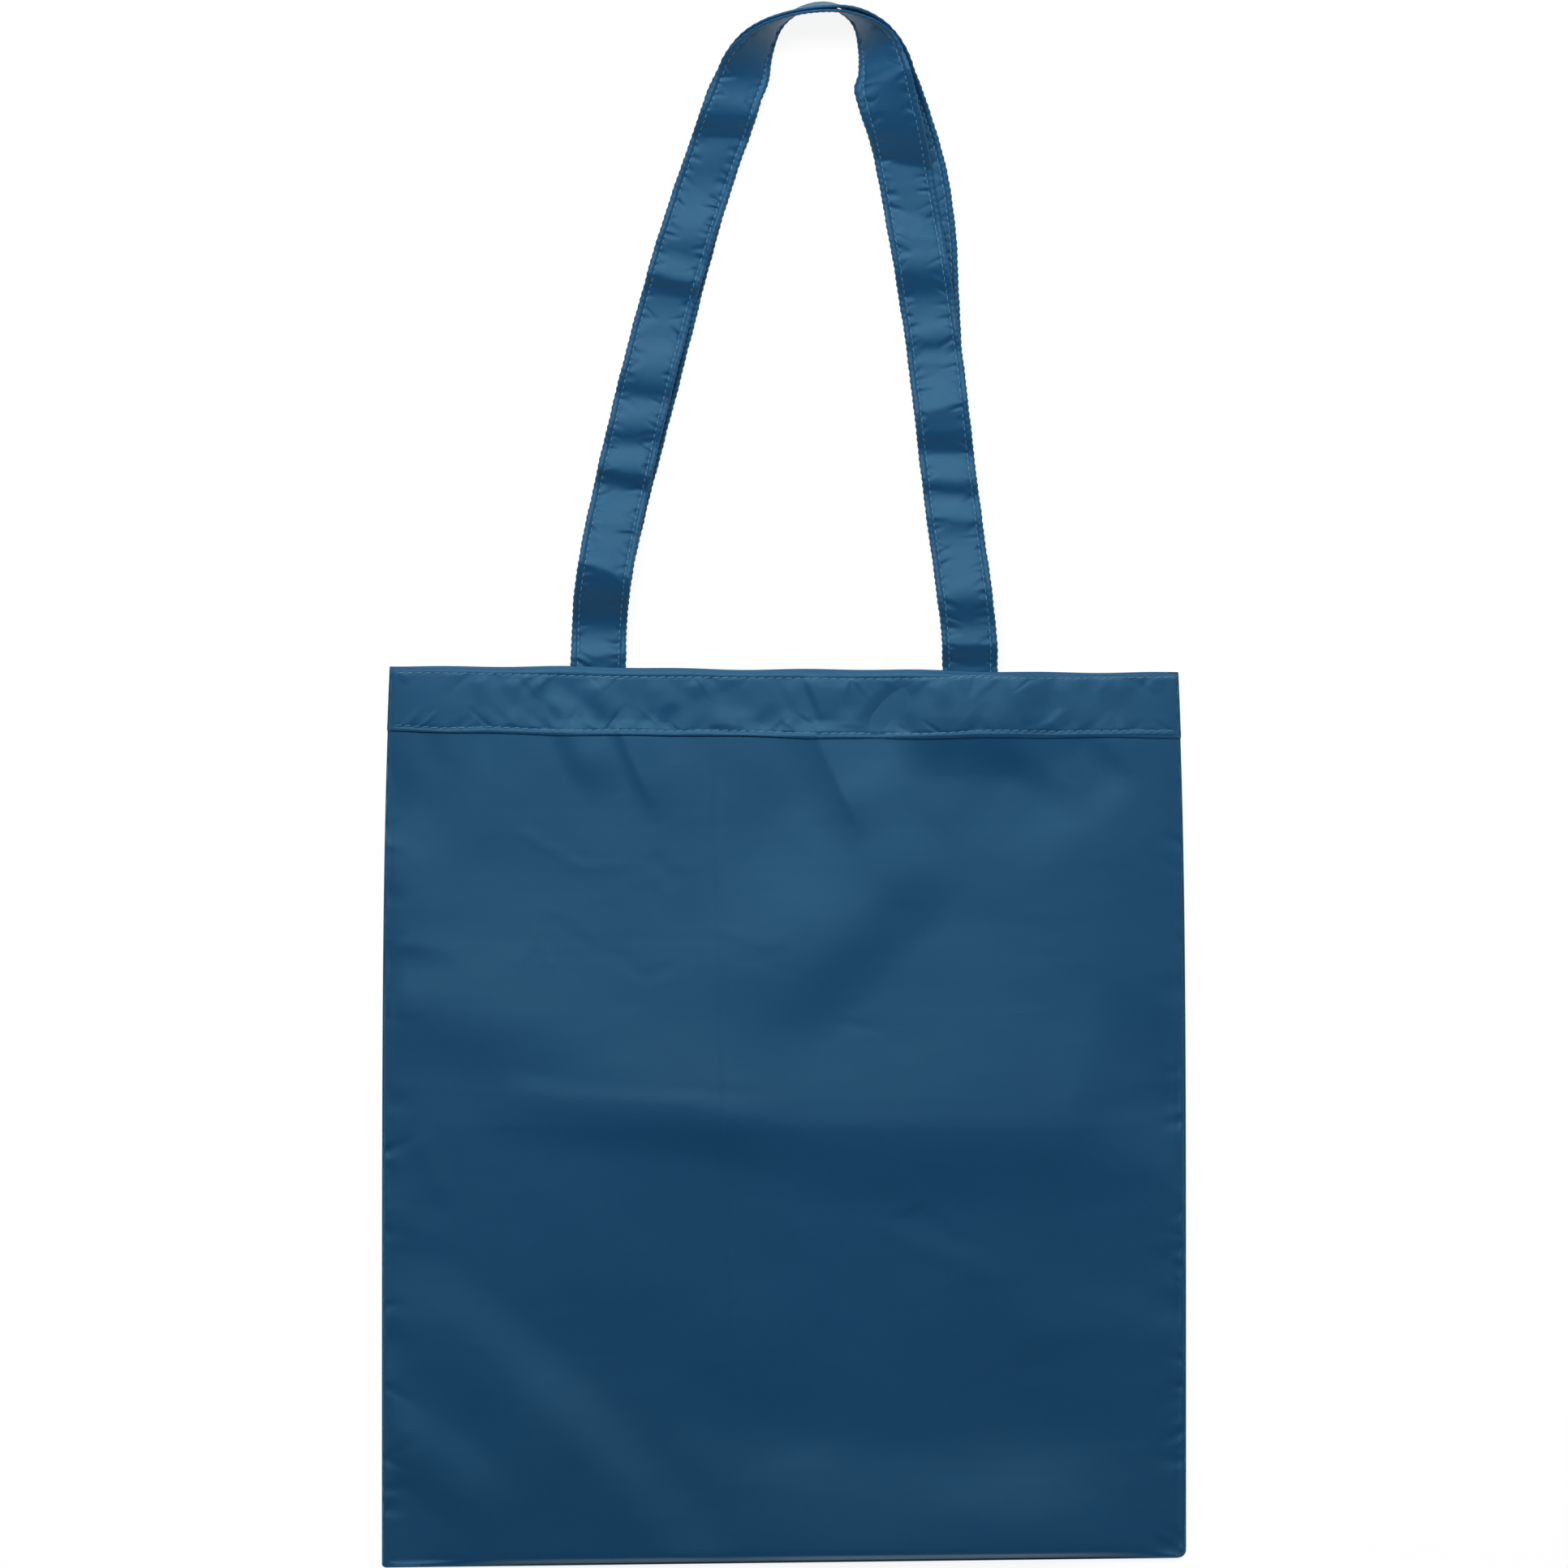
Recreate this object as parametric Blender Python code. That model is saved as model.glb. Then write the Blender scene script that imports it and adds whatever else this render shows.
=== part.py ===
"""A thin woven shopper, lying flat on its back panel with its handles stretched out above the mouth.

The bag is a sleeve of light cloth, folded at its foot and closed at its sides, with a hem turned in
around the mouth. Two long handles, each a folded strip, are sewn to the inside of the hem. They lie one
over the other and turn on edge where they bend around the top of the loop, the back one outside.

Metres. +Z is up, +Y runs from the foot of the bag to the handles, +X is to the right when the front
panel faces the viewer. The origin is under the middle of the whole length.
"""

import math
from collections import namedtuple

import bmesh
import bpy
from mathutils import Matrix, Vector
from mathutils.geometry import interpolate_bezier

# The sleeve, laid flat
BODY_WIDTH = 0.3808
BODY_LENGTH = 0.4247
MOUTH_DRAW_IN = 0.0039
MOUTH_SLANT = 0.0036
FOOT_SLANT = 0.0046
CORNER_TRIM = 0.0030

# The cloth and its hem
CLOTH_THICKNESS = 0.0006
HEM_THICKNESS = 0.0012
HEM_DEPTH = 0.0320
HEM_GROOVE = 0.0009
HEM_GROOVE_WIDTH = 0.0030

# How high the front panel stands over the surface that the bag lies on
SIDE_HEIGHT = 0.0030
MOUTH_HEIGHT = 0.0125
CROWN_HEIGHT = 0.0160
CROWN_SHARE = 0.50
SIDE_ROUNDNESS = 4.0
FOOT_ROUNDNESS = 1.5
FOOT_FADE = 0.0500

# The handles
HANDLE_WIDTH = 0.0260
HANDLE_THICKNESS = 0.0012
HANDLE_SPACING = 0.1760
HANDLE_RISE = 0.3157
HANDLE_TAIL = 0.0270
HANDLE_LEAN = math.radians(98)
HANDLE_LEVEL_LENGTH = 0.0400
HANDLE_DROP_LENGTH = 0.0900
BACK_HANDLE_DROP_LENGTH = 0.0350
LOOP_SPREAD = 0.0010
PIECE_GAP = 0.0003

# Shapes of curves: how late the sides draw in towards the mouth, how close to its sides the sleeve's
# inner skin stays straight, and how much of its height a fold keeps at its ends
MOUTH_TAPER_POWER = 5
SIDE_INSET_POWER = 9
FOLD_END_SHARE = 0.35

# Fineness of the surfaces
PANEL_COLUMNS = 34
SIDE_CROWDING = math.radians(80)
BODY_ROWS = 34
HEM_ROWS = 3
HANDLE_STATIONS = 96
ROUTE_STEPS = 24

CLOTH_COLOUR = (0.0144, 0.0685, 0.1413, 1.0)
HANDLE_COLOUR = (0.0158, 0.0742, 0.1500, 1.0)
CLOTH_ROUGHNESS = 0.45

# The loop is symmetric about no line: its top leans to the right. Each point of its route is a share of
# half the spacing across and of the rise above the mouth, with the turn of the strip as a share of the
# full turn on to its edge.
RoutePoint = namedtuple("RoutePoint", "across along turn")
HANDLE_ROUTE = (
    RoutePoint(-1.000, -HANDLE_TAIL / HANDLE_RISE, 0.00),
    RoutePoint(-1.000, 0.000, 0.00),
    RoutePoint(-0.962, 0.150, 0.00),
    RoutePoint(-0.775, 0.393, 0.00),
    RoutePoint(-0.539, 0.637, 0.00),
    RoutePoint(-0.268, 0.856, 0.12),
    RoutePoint(-0.150, 0.930, 0.50),
    RoutePoint(0.000, 0.974, 0.88),
    RoutePoint(0.194, 0.991, 1.00),
    RoutePoint(0.370, 0.978, 0.85),
    RoutePoint(0.500, 0.935, 0.45),
    RoutePoint(0.560, 0.862, 0.10),
    RoutePoint(0.640, 0.760, 0.00),
    RoutePoint(0.790, 0.515, 0.00),
    RoutePoint(0.895, 0.272, 0.00),
    RoutePoint(0.985, 0.080, 0.00),
    RoutePoint(1.000, 0.000, 0.00),
    RoutePoint(1.000, -HANDLE_TAIL / HANDLE_RISE, 0.00),
)

# Where the back handle peeps out beside the front one: the share of the way along the route, the half
# length of the stretch as a share, and how far it lies towards the inside of the loop.
Slide = namedtuple("Slide", "centre reach inward")
BACK_HANDLE_SLIDES = (
    Slide(0.24, 0.16, 0.0024),
    Slide(0.65, 0.12, -0.0070),
)

# The bends that packing left in the front handle, each a low arch across the strip
Bend = namedtuple("Bend", "centre reach height")
FRONT_HANDLE_BENDS = (
    Bend(0.115, 0.030, 0.0015),
    Bend(0.172, 0.024, 0.0018),
    Bend(0.300, 0.032, 0.0026),
    Bend(0.665, 0.035, 0.0022),
    Bend(0.789, 0.026, 0.0018),
    Bend(0.911, 0.030, 0.0014),
)

# The large folds of the front panel. Ends are shares of the panel: across from -1 to 1, and along from
# 0 at the foot to 1 at the mouth. The reach to each side and the height are in metres.
Fold = namedtuple("Fold", "start end reach height")
PANEL_FOLDS = (
    Fold((-0.80, 0.540), (0.05, 0.490), 0.024, 0.0017),
    Fold((0.05, 0.490), (0.97, 0.490), 0.024, 0.0019),
    Fold((-0.99, 0.637), (-0.19, 0.590), 0.028, 0.0019),
    Fold((-0.84, 0.265), (-0.37, 0.035), 0.030, 0.0032),
    Fold((-1.00, 0.095), (-0.79, 0.000), 0.040, -0.0020),
    Fold((0.33, 0.787), (-0.13, 0.600), 0.027, 0.0015),
    Fold((0.06, 0.935), (0.20, 0.787), 0.011, -0.0013),
    Fold((-0.48, 0.930), (-0.30, 0.790), 0.010, -0.0011),
    Fold((0.18, 0.935), (0.24, 0.890), 0.018, 0.0013),
    Fold((0.62, 0.925), (0.77, 0.840), 0.012, 0.0008),
    Fold((-0.17, 0.043), (0.82, 0.053), 0.028, 0.0018),
)

# The gathers that the two rows of stitching draw into the hem: shares across, with reach and height
Gather = namedtuple("Gather", "across reach height")
HEM_GATHERS = (
    Gather(-0.70, 0.012, 0.0006),
    Gather(-0.52, 0.011, 0.0008),
    Gather(-0.30, 0.014, 0.0007),
    Gather(-0.08, 0.013, 0.0009),
    Gather(0.12, 0.012, 0.0007),
    Gather(0.28, 0.013, 0.0010),
    Gather(0.60, 0.012, 0.0008),
    Gather(0.80, 0.012, 0.0006),
)

MOUTH_Y = (BODY_LENGTH - HANDLE_RISE) / 2
FOOT_Y = MOUTH_Y - BODY_LENGTH


def clear_scene():
    for old in list(bpy.data.objects):
        bpy.data.objects.remove(old, do_unlink=True)


def cloth_material(name, colour):
    material = bpy.data.materials.new(name)
    material.use_nodes = True
    surface = material.node_tree.nodes["Principled BSDF"]
    surface.inputs["Base Color"].default_value = colour
    surface.inputs["Roughness"].default_value = CLOTH_ROUGHNESS
    surface.inputs["Metallic"].default_value = 0.0
    return material


def make_object(name, mesh_builder, material):
    """Store a built mesh as a named object with one material, its faces pointing outwards."""
    bmesh.ops.recalc_face_normals(mesh_builder, faces=mesh_builder.faces)
    if mesh_builder.calc_volume(signed=True) < 0:
        bmesh.ops.reverse_faces(mesh_builder, faces=mesh_builder.faces)
    mesh = bpy.data.meshes.new(name)
    mesh_builder.to_mesh(mesh)
    mesh_builder.free()
    mesh.materials.append(material)
    mesh.shade_smooth()
    mesh.set_sharp_from_angle(angle=math.radians(40))
    made = bpy.data.objects.new(name, mesh)
    bpy.context.scene.collection.objects.link(made)
    return made


def hump(distance, reach):
    """A smooth bump that is 1 at no distance and 0 at its reach and beyond."""
    share = min(abs(distance) / reach, 1.0)
    return 0.5 * (1.0 + math.cos(math.pi * share))


def ease(share):
    share = min(max(share, 0.0), 1.0)
    return share * share * (3.0 - 2.0 * share)


def outline_point(across, along):
    """A point of the flat bag's outline and inside of it, from its shares across and along."""
    half_width = BODY_WIDTH / 2 - MOUTH_DRAW_IN * along ** MOUTH_TAPER_POWER
    foot_y = FOOT_Y + FOOT_SLANT * (across + 1) / 2
    mouth_y = MOUTH_Y - MOUTH_SLANT * across / 2
    return across * half_width, foot_y + (mouth_y - foot_y) * along


def fold_height(x, y):
    """The height that the large folds add to the front panel."""
    total = 0.0
    here = Vector((x, y))
    for fold in PANEL_FOLDS:
        start = Vector(outline_point(*fold.start))
        run = Vector(outline_point(*fold.end)) - start
        share = min(max((here - start).dot(run) / run.length_squared, 0.0), 1.0)
        distance = (here - (start + run * share)).length
        taper = FOLD_END_SHARE + (1.0 - FOLD_END_SHARE) * math.sin(math.pi * share)
        total += fold.height * taper * hump(distance, fold.reach)
    return total


def pillow_height(across, along):
    """The height of the front panel before its folds: low at the foot and sides, crowned between."""
    side_share = math.sqrt(max(1.0 - abs(across) ** SIDE_ROUNDNESS, 0.0))
    if along < CROWN_SHARE:
        lift = (CROWN_HEIGHT - SIDE_HEIGHT) * (1.0 - (1.0 - along / CROWN_SHARE) ** FOOT_ROUNDNESS)
    else:
        toward_mouth = ease((along - CROWN_SHARE) / (1.0 - CROWN_SHARE))
        lift = CROWN_HEIGHT - SIDE_HEIGHT + (MOUTH_HEIGHT - CROWN_HEIGHT) * toward_mouth
    return SIDE_HEIGHT + lift * side_share


def front_height(across, along):
    """The height of the front panel's outer face, with its folds, gathers and the stitched groove."""
    x, y = outline_point(across, along)
    fade = math.sqrt(max(1.0 - abs(across) ** SIDE_ROUNDNESS, 0.0))
    fade *= min(along * BODY_LENGTH / FOOT_FADE, 1.0)
    below_mouth = (1.0 - along) * BODY_LENGTH
    relief = fold_height(x, y)
    in_hem = ease((HEM_DEPTH + HEM_GROOVE_WIDTH - below_mouth) / HEM_GROOVE_WIDTH)
    for gather in HEM_GATHERS:
        relief += in_hem * gather.height * hump((across - gather.across) * BODY_WIDTH / 2, gather.reach)
    relief -= HEM_GROOVE * hump(below_mouth - HEM_DEPTH, HEM_GROOVE_WIDTH)
    return pillow_height(across, along) + relief * fade


def panel_rows():
    """Shares along the panel from foot to mouth, closer together at the stitched line of the hem."""
    hem_line = 1.0 - HEM_DEPTH / BODY_LENGTH
    groove = HEM_GROOVE_WIDTH / BODY_LENGTH
    below = [(hem_line - groove) * step / BODY_ROWS for step in range(BODY_ROWS + 1)]
    hem_start = hem_line + groove
    above = [hem_start + (1.0 - hem_start) * step / HEM_ROWS for step in range(HEM_ROWS + 1)]
    return below, hem_line, above


def panel_columns():
    """Shares across the panel, closer together towards the rolled sides."""
    steps = [2 * step / PANEL_COLUMNS - 1 for step in range(PANEL_COLUMNS + 1)]
    return [math.sin(SIDE_CROWDING * step) / math.sin(SIDE_CROWDING) for step in steps]


def skin_rows(builder, along, wall):
    """A row of points across the front and one across the back, set in from the cloth's outside by wall."""
    front_row = []
    back_row = []
    for across in panel_columns():
        x, y = outline_point(across, along)
        x -= wall * across ** SIDE_INSET_POWER
        y += wall * max(1.0 - along * BODY_ROWS, 0.0)
        front_row.append(builder.verts.new((x, y, front_height(across, along) - wall)))
        back_row.append(builder.verts.new((x, y, wall)))
    return front_row, back_row


def sleeve_skin(builder, rows):
    """One skin of the sleeve: front, back, both sides and the foot, open at the mouth.

    Gives back the faces of the back panel, which are all in one plane.
    """
    flat_faces = []
    for (front, back), (next_front, next_back) in zip(rows, rows[1:]):
        for left in range(PANEL_COLUMNS):
            right = left + 1
            builder.faces.new((front[left], front[right], next_front[right], next_front[left]))
            flat = builder.faces.new((back[left], next_back[left], next_back[right], back[right]))
            flat_faces.append(flat)
        for edge in (0, PANEL_COLUMNS):
            builder.faces.new((front[edge], next_front[edge], next_back[edge], back[edge]))
    front, back = rows[0]
    for left in range(PANEL_COLUMNS):
        builder.faces.new((front[left], back[left], back[left + 1], front[left + 1]))
    return flat_faces


def build_body(material):
    """The sleeve of cloth: an outer and an inner skin that meet around the mouth.

    The inner skin steps in where the turned-in hem begins, so the hem is as thick as two layers.
    """
    builder = bmesh.new()
    below, hem_line, above = panel_rows()
    outer = [skin_rows(builder, along, 0.0) for along in below + [hem_line] + above]
    inner = [skin_rows(builder, along, CLOTH_THICKNESS) for along in below + [hem_line]]
    inner += [skin_rows(builder, along, HEM_THICKNESS) for along in [hem_line] + above]
    flat_faces = sleeve_skin(builder, outer)
    flat_faces += sleeve_skin(builder, inner)

    (outer_front, outer_back), (inner_front, inner_back) = outer[-1], inner[-1]
    for left in range(PANEL_COLUMNS):
        right = left + 1
        builder.faces.new((outer_front[left], outer_front[right], inner_front[right], inner_front[left]))
        builder.faces.new((outer_back[left], inner_back[left], inner_back[right], outer_back[right]))
    for edge in (0, PANEL_COLUMNS):
        builder.faces.new((outer_front[edge], inner_front[edge], inner_back[edge], outer_back[edge]))

    bmesh.ops.recalc_face_normals(builder, faces=builder.faces)
    flat_edges = {edge for face in flat_faces for edge in face.edges}
    flat_verts = {vert for face in flat_faces for vert in face.verts}
    bmesh.ops.dissolve_limit(builder, angle_limit=math.radians(0.05), use_dissolve_boundaries=False,
                             verts=list(flat_verts), edges=list(flat_edges))
    trim_foot_corners(builder)
    return make_object("bag_body", builder, material)


def trim_foot_corners(builder):
    """Round the two lower corners of the sleeve as seen from the front."""
    corners = [outline_point(side, 0.0) for side in (-1, 1)]
    upright = [edge for edge in builder.edges
               if any(all(math.hypot(vert.co.x - x, vert.co.y - y) < CLOTH_THICKNESS / 4
                          for vert in edge.verts) for x, y in corners)]
    bmesh.ops.bevel(builder, geom=upright, offset=CORNER_TRIM, offset_type="OFFSET", segments=3,
                    profile=0.5, affect="EDGES")


def smooth_route():
    """The route through its points, evenly spaced: plan position, turn and share of the way."""
    knots = [Vector((point.across * HANDLE_SPACING / 2, MOUTH_Y + point.along * HANDLE_RISE, point.turn))
             for point in HANDLE_ROUTE]
    fine = []
    for before, start, end, after in zip([knots[0]] + knots, knots, knots[1:], knots[2:] + [knots[-1]]):
        control_out = start + (end - before) / 6
        control_in = end - (after - start) / 6
        fine.extend(interpolate_bezier(start, control_out, control_in, end, ROUTE_STEPS)[:-1])
    fine.append(knots[-1])

    travelled = [0.0]
    for last, here in zip(fine, fine[1:]):
        travelled.append(travelled[-1] + math.hypot(here.x - last.x, here.y - last.y))
    stations = []
    index = 0
    for step in range(HANDLE_STATIONS + 1):
        wanted = travelled[-1] * step / HANDLE_STATIONS
        while index < len(fine) - 2 and travelled[index + 1] < wanted:
            index += 1
        share = (wanted - travelled[index]) / (travelled[index + 1] - travelled[index])
        stations.append((fine[index].lerp(fine[index + 1], share), step / HANDLE_STATIONS))
    return stations


def front_handle_lift(x, y, share):
    """Height of the front handle over its rest: level past the hem, then down on to the back handle."""
    resting = HANDLE_THICKNESS * 1.5 + PIECE_GAP
    across = x / (BODY_WIDTH / 2 - MOUTH_DRAW_IN)
    along = min((y - FOOT_Y) / BODY_LENGTH, 1.0)
    under_hem = pillow_height(across, along) - HEM_THICKNESS - PIECE_GAP - HANDLE_THICKNESS / 2
    fallen = ease((y - MOUTH_Y - HANDLE_LEVEL_LENGTH) / HANDLE_DROP_LENGTH)
    bends = sum(bend.height * hump(share - bend.centre, bend.reach) for bend in FRONT_HANDLE_BENDS)
    return (under_hem - resting) * (1.0 - fallen) + bends


def back_handle_lift(y):
    """Height of the back handle over the ground: it lies on the back hem and drops past its edge."""
    on_hem = HEM_THICKNESS + PIECE_GAP
    return on_hem * (1.0 - ease((y - MOUTH_Y) / BACK_HANDLE_DROP_LENGTH))


def build_handle(name, is_front, material):
    """A folded strip swept along the loop, turned on to its edge around the top."""
    builder = bmesh.new()
    stations = smooth_route()
    nesting = HANDLE_THICKNESS + PIECE_GAP
    half_width = HANDLE_WIDTH / 2
    half_thick = HANDLE_THICKNESS / 2
    shoulder = half_width - half_thick
    profile = ((-half_width, 0.0), (-shoulder, half_thick), (shoulder, half_thick),
               (half_width, 0.0), (shoulder, -half_thick), (-shoulder, -half_thick))
    rings = []
    for index, (point, share) in enumerate(stations):
        ahead = stations[min(index + 1, len(stations) - 1)][0]
        behind = stations[max(index - 1, 0)][0]
        travel = Vector((ahead.x - behind.x, ahead.y - behind.y, 0.0)).normalized()
        inward = Vector((travel.y, -travel.x, 0.0))
        turn = max(point.z, 0.0) * HANDLE_LEAN
        width_way = inward * math.cos(turn) - Vector((0, 0, math.sin(turn)))
        face_way = inward * math.sin(turn) + Vector((0, 0, math.cos(turn)))
        centre = Vector((point.x, point.y, 0.0))
        centre.z = half_width * math.sin(turn) + half_thick * abs(math.cos(turn))
        if is_front:
            centre.z += nesting * max(math.cos(turn), 0.0) + front_handle_lift(point.x, point.y, share)
        else:
            centre -= inward * (nesting + LOOP_SPREAD) * math.sin(turn)
            centre.z += nesting * max(-math.cos(turn), 0.0) + back_handle_lift(point.y)
            centre += inward * sum(slide.inward * hump(share - slide.centre, slide.reach)
                                   for slide in BACK_HANDLE_SLIDES)
        rings.append([builder.verts.new(centre + width_way * a + face_way * b) for a, b in profile])
    # Both faces of the strip are split along the same diagonals, so that nested strips keep their gap.
    for ring, following in zip(rings, rings[1:]):
        for corner in range(len(profile)):
            after = (corner + 1) % len(profile)
            quad = (ring[corner], ring[after], following[after], following[corner])
            if corner >= len(profile) // 2:
                quad = quad[1:] + quad[:1]
            builder.faces.new(quad[:3])
            builder.faces.new(quad[2:] + quad[:1])
    builder.faces.new(rings[0])
    builder.faces.new(reversed(rings[-1]))
    return make_object(name, builder, material)


def centre_over_origin(pieces):
    """Shift the whole so that the origin lies under the middle of its length and width."""
    corners = [vert.co for piece in pieces for vert in piece.data.vertices]
    middle_x = (min(c.x for c in corners) + max(c.x for c in corners)) / 2
    middle_y = (min(c.y for c in corners) + max(c.y for c in corners)) / 2
    for piece in pieces:
        piece.data.transform(Matrix.Translation((-middle_x, -middle_y, 0.0)))


def main():
    clear_scene()
    cloth = cloth_material("bag_cloth", CLOTH_COLOUR)
    handle_cloth = cloth_material("handle_cloth", HANDLE_COLOUR)
    pieces = [
        build_body(cloth),
        build_handle("front_handle", True, handle_cloth),
        build_handle("back_handle", False, handle_cloth),
    ]
    centre_over_origin(pieces)
    whole = bpy.data.objects.new("shopper", None)
    bpy.context.scene.collection.objects.link(whole)
    for piece in pieces:
        piece.parent = whole


main()
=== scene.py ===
"""The looks of a thin woven shopper that lies flat with its handles stretched out above the mouth.

The surfaces are fine meshes worked out here: a front and a back panel of light cloth, a stitched hem
around the mouth, two handles that are folded strips, and every stitch. Places on the cloth are in
millimetres from the middle of the whole bag, x to the right and y towards the handles. Meshes are in
metres. The larger folds follow the real ones one by one, so they are written down and not simulated;
the small puckers along the seams are seeded.
"""

import math
from collections import namedtuple

import bpy
import numpy as np
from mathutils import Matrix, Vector


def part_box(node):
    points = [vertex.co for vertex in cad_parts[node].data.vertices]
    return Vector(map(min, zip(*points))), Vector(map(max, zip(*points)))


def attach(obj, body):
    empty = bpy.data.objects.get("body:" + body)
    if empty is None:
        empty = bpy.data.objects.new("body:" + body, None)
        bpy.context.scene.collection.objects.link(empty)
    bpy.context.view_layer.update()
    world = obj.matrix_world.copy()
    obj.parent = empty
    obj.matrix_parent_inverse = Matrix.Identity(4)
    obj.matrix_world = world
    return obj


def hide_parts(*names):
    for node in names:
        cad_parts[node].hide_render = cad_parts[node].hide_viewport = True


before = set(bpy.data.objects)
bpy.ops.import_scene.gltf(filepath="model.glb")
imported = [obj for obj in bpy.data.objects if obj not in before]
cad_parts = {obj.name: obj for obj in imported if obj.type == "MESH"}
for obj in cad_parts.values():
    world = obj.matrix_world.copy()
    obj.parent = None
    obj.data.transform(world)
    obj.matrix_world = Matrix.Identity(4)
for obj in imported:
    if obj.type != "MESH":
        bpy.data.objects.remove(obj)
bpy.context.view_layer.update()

MM = 0.001
SEED = 7

# The frame's solids give the outline
BODY_LOW, BODY_HIGH = (np.array(corner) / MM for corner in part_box("bag_body"))

# The sleeve, in millimetres
BODY_WIDTH = BODY_HIGH[0] - BODY_LOW[0]
HALF_WIDTH = BODY_WIDTH / 2
MOUTH_DRAW_IN = 3.9
MOUTH_DRAW_POWER = 5
MOUTH_SLANT = 3.6
FOOT_SLANT = 4.6
FOOT_Y = BODY_LOW[1]
MOUTH_Y = BODY_HIGH[1] - MOUTH_SLANT / 2
LEFT_CORNER_TRIM = 1.2
RIGHT_CORNER_TRIM = 3.4
CORNER_REACH = 14.0
EDGE_ROLL = 0.7
FLOOR_GAP = 0.9
LOWEST = 0.1
BACK_INSET = 1.5 * EDGE_ROLL
# waves of the mouth's line: height, length and phase
MOUTH_WAVES = ((0.25, 9.0, 0.6), (0.3, 23.0, -0.4))

# The front panel's height, and how round it is towards its sides and foot
MOUTH_HEIGHT = 12.2
CROWN_HEIGHT = 16.0
CROWN_SHARE = 0.49
SIDE_POWER = 3.2
SIDE_ROUNDNESS = 0.75
FOOT_ROLL = 0.12
FOOT_ROLL_POWER = 150

# Over how much the folds fade out: at the sides, the foot, the edges and under the hem
SIDE_FADE = 11.0
FOOT_FADE = 3.0
EDGE_FADE = 4.0
PUCKER_FADE = 2.0
UNDER_HEM_FADE = 9.0
FLOOR_HARDNESS = 3.0

# Uneven waves all over the cloth: length and height
CRUMPLE_WAVES = ((90.0, 0.1), (47.0, 0.035), (24.0, 0.012), (11.0, 0.003))
WAVES_OF_EACH = 5
SEAM_PUCKERS = 64

# Spacing of the points of the front panel, fine near its edges
FINE_STEP = 0.45
COARSE_STEP = 1.5
FINE_MARGIN = 6.0

# The hem, a second layer whose lower edge stands over the panel
HEM_DEPTH = 31.8
HEM_LIP = 0.75
BACK_HEM_LIP = 0.55
HEM_TILT = 0.035
TILT_TO_RIGHT = 0.7
HEM_PITCH = 4.27
MOUTH_ROLL = 1.2
MOUTH_ROLL_REACH = 2.7
PUCKER_GAIN = 1.4

# Seeded pulls beside a row of stitches: how strong, how many and their seed
Pulls = namedtuple("Pulls", "strength count seed")
MOUTH_ROW_PULLS = Pulls(0.46, 44, SEED)
EDGE_ROW_PULLS = Pulls(0.52, 50, SEED + 5)
PULL_REACH = 13.0

# Lines along the hem as x and y in turn: its two rows of stitches and its lower edge
ROW_BY_MOUTH = (
    -187, 52.6, -156, 52.4, -112, 51.3, -70, 50.5, -44, 50.5, -6, 50.0, 36, 49.6, 63, 49.9, 90, 50.5,
    113, 49.9, 140, 49.9, 167, 50.4, 187, 50.7,
)
ROW_BY_EDGE = (
    -187, 27.7, -179, 27.4, -163, 26.4, -140, 26.8, -106, 25.7, -71, 25.5, -56, 25.1, -37, 25.2,
    -25, 24.7, -6, 24.4, 36, 24.0, 63, 24.1, 79, 24.4, 90, 25.0, 105, 25.1, 128, 24.8, 148, 25.0,
    167, 25.5, 187, 25.5,
)
HEM_EDGE = (
    -190, 25.4, -171, 24.9, -140, 24.4, -106, 23.8, -71, 23.4, -44, 23.1, -6, 22.5, 13, 22.1, 90, 22.1,
    128, 22.1, 167, 22.5, 190, 22.5,
)

# The handles
HANDLE_WIDTH = 26.0
HALF_HANDLE = HANDLE_WIDTH / 2
HANDLE_THICKNESS = 1.2
HANDLE_SPACING = 176.0
HANDLE_RISE = 315.7
HANDLE_TAIL = 27.0
HANDLE_LEAN = math.radians(98)
HANDLE_GAP = 0.3
NESTING = HANDLE_THICKNESS + HANDLE_GAP
STITCH_INSET = 3.2
HANDLE_PITCH = 3.1
INNER_LAYER_INSET = 7.2
BACK_HANDLE_SLACK = 0.45

# How the handles come down from the hem to the floor
UNDER_HEM_GAP = 0.9
LEVEL_LENGTH = 40.0
FRONT_DROP = 90.0
BACK_DROP = 35.0
BACK_LIFT = 1.6

# Where the loops part at the top, and where the handles twist, as shares of their length
LOOP_SPREAD = 1.0
LOOP_SPREAD_AT = 0.53
LOOP_SPREAD_REACH = 0.03
TWIST_REACH = 0.14

# How the slopes below bend the legs of the front handle
LEG_CLEARANCE = 2.4
LEG_SMOOTHING = 80.0
LEG_BENDS = 1.2
LEG_STEP = 0.5
LEG_COLUMNS = 9
LEG_TOP_SHARE = 0.89
LEG_TOP_FADE = 20.0
LEG_FOOT_FADE = 12.0

# A kink of the front handle's inner edge on the right leg, and the arch of the leg around it
KINK_Y = 328.0
KINK_DEPTH = 2.8
KINK_ABOVE = 9.0
KINK_BELOW = 34.0
RIGHT_LIFT = 5.5
RIGHT_LIFT_Y = 326.0
RIGHT_LIFT_REACH = 46.0

THREAD = 0.42
# a stitch's rings: the share of its length, and its thickness and height as shares of the thread's
THREAD_RINGS = (
    (0.0, 0.35, -0.35), (0.12, 0.85, 0.25), (0.5, 1.0, 0.55), (0.88, 0.85, 0.25), (1.0, 0.35, -0.35),
)
THREAD_SIDES = 6

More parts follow.
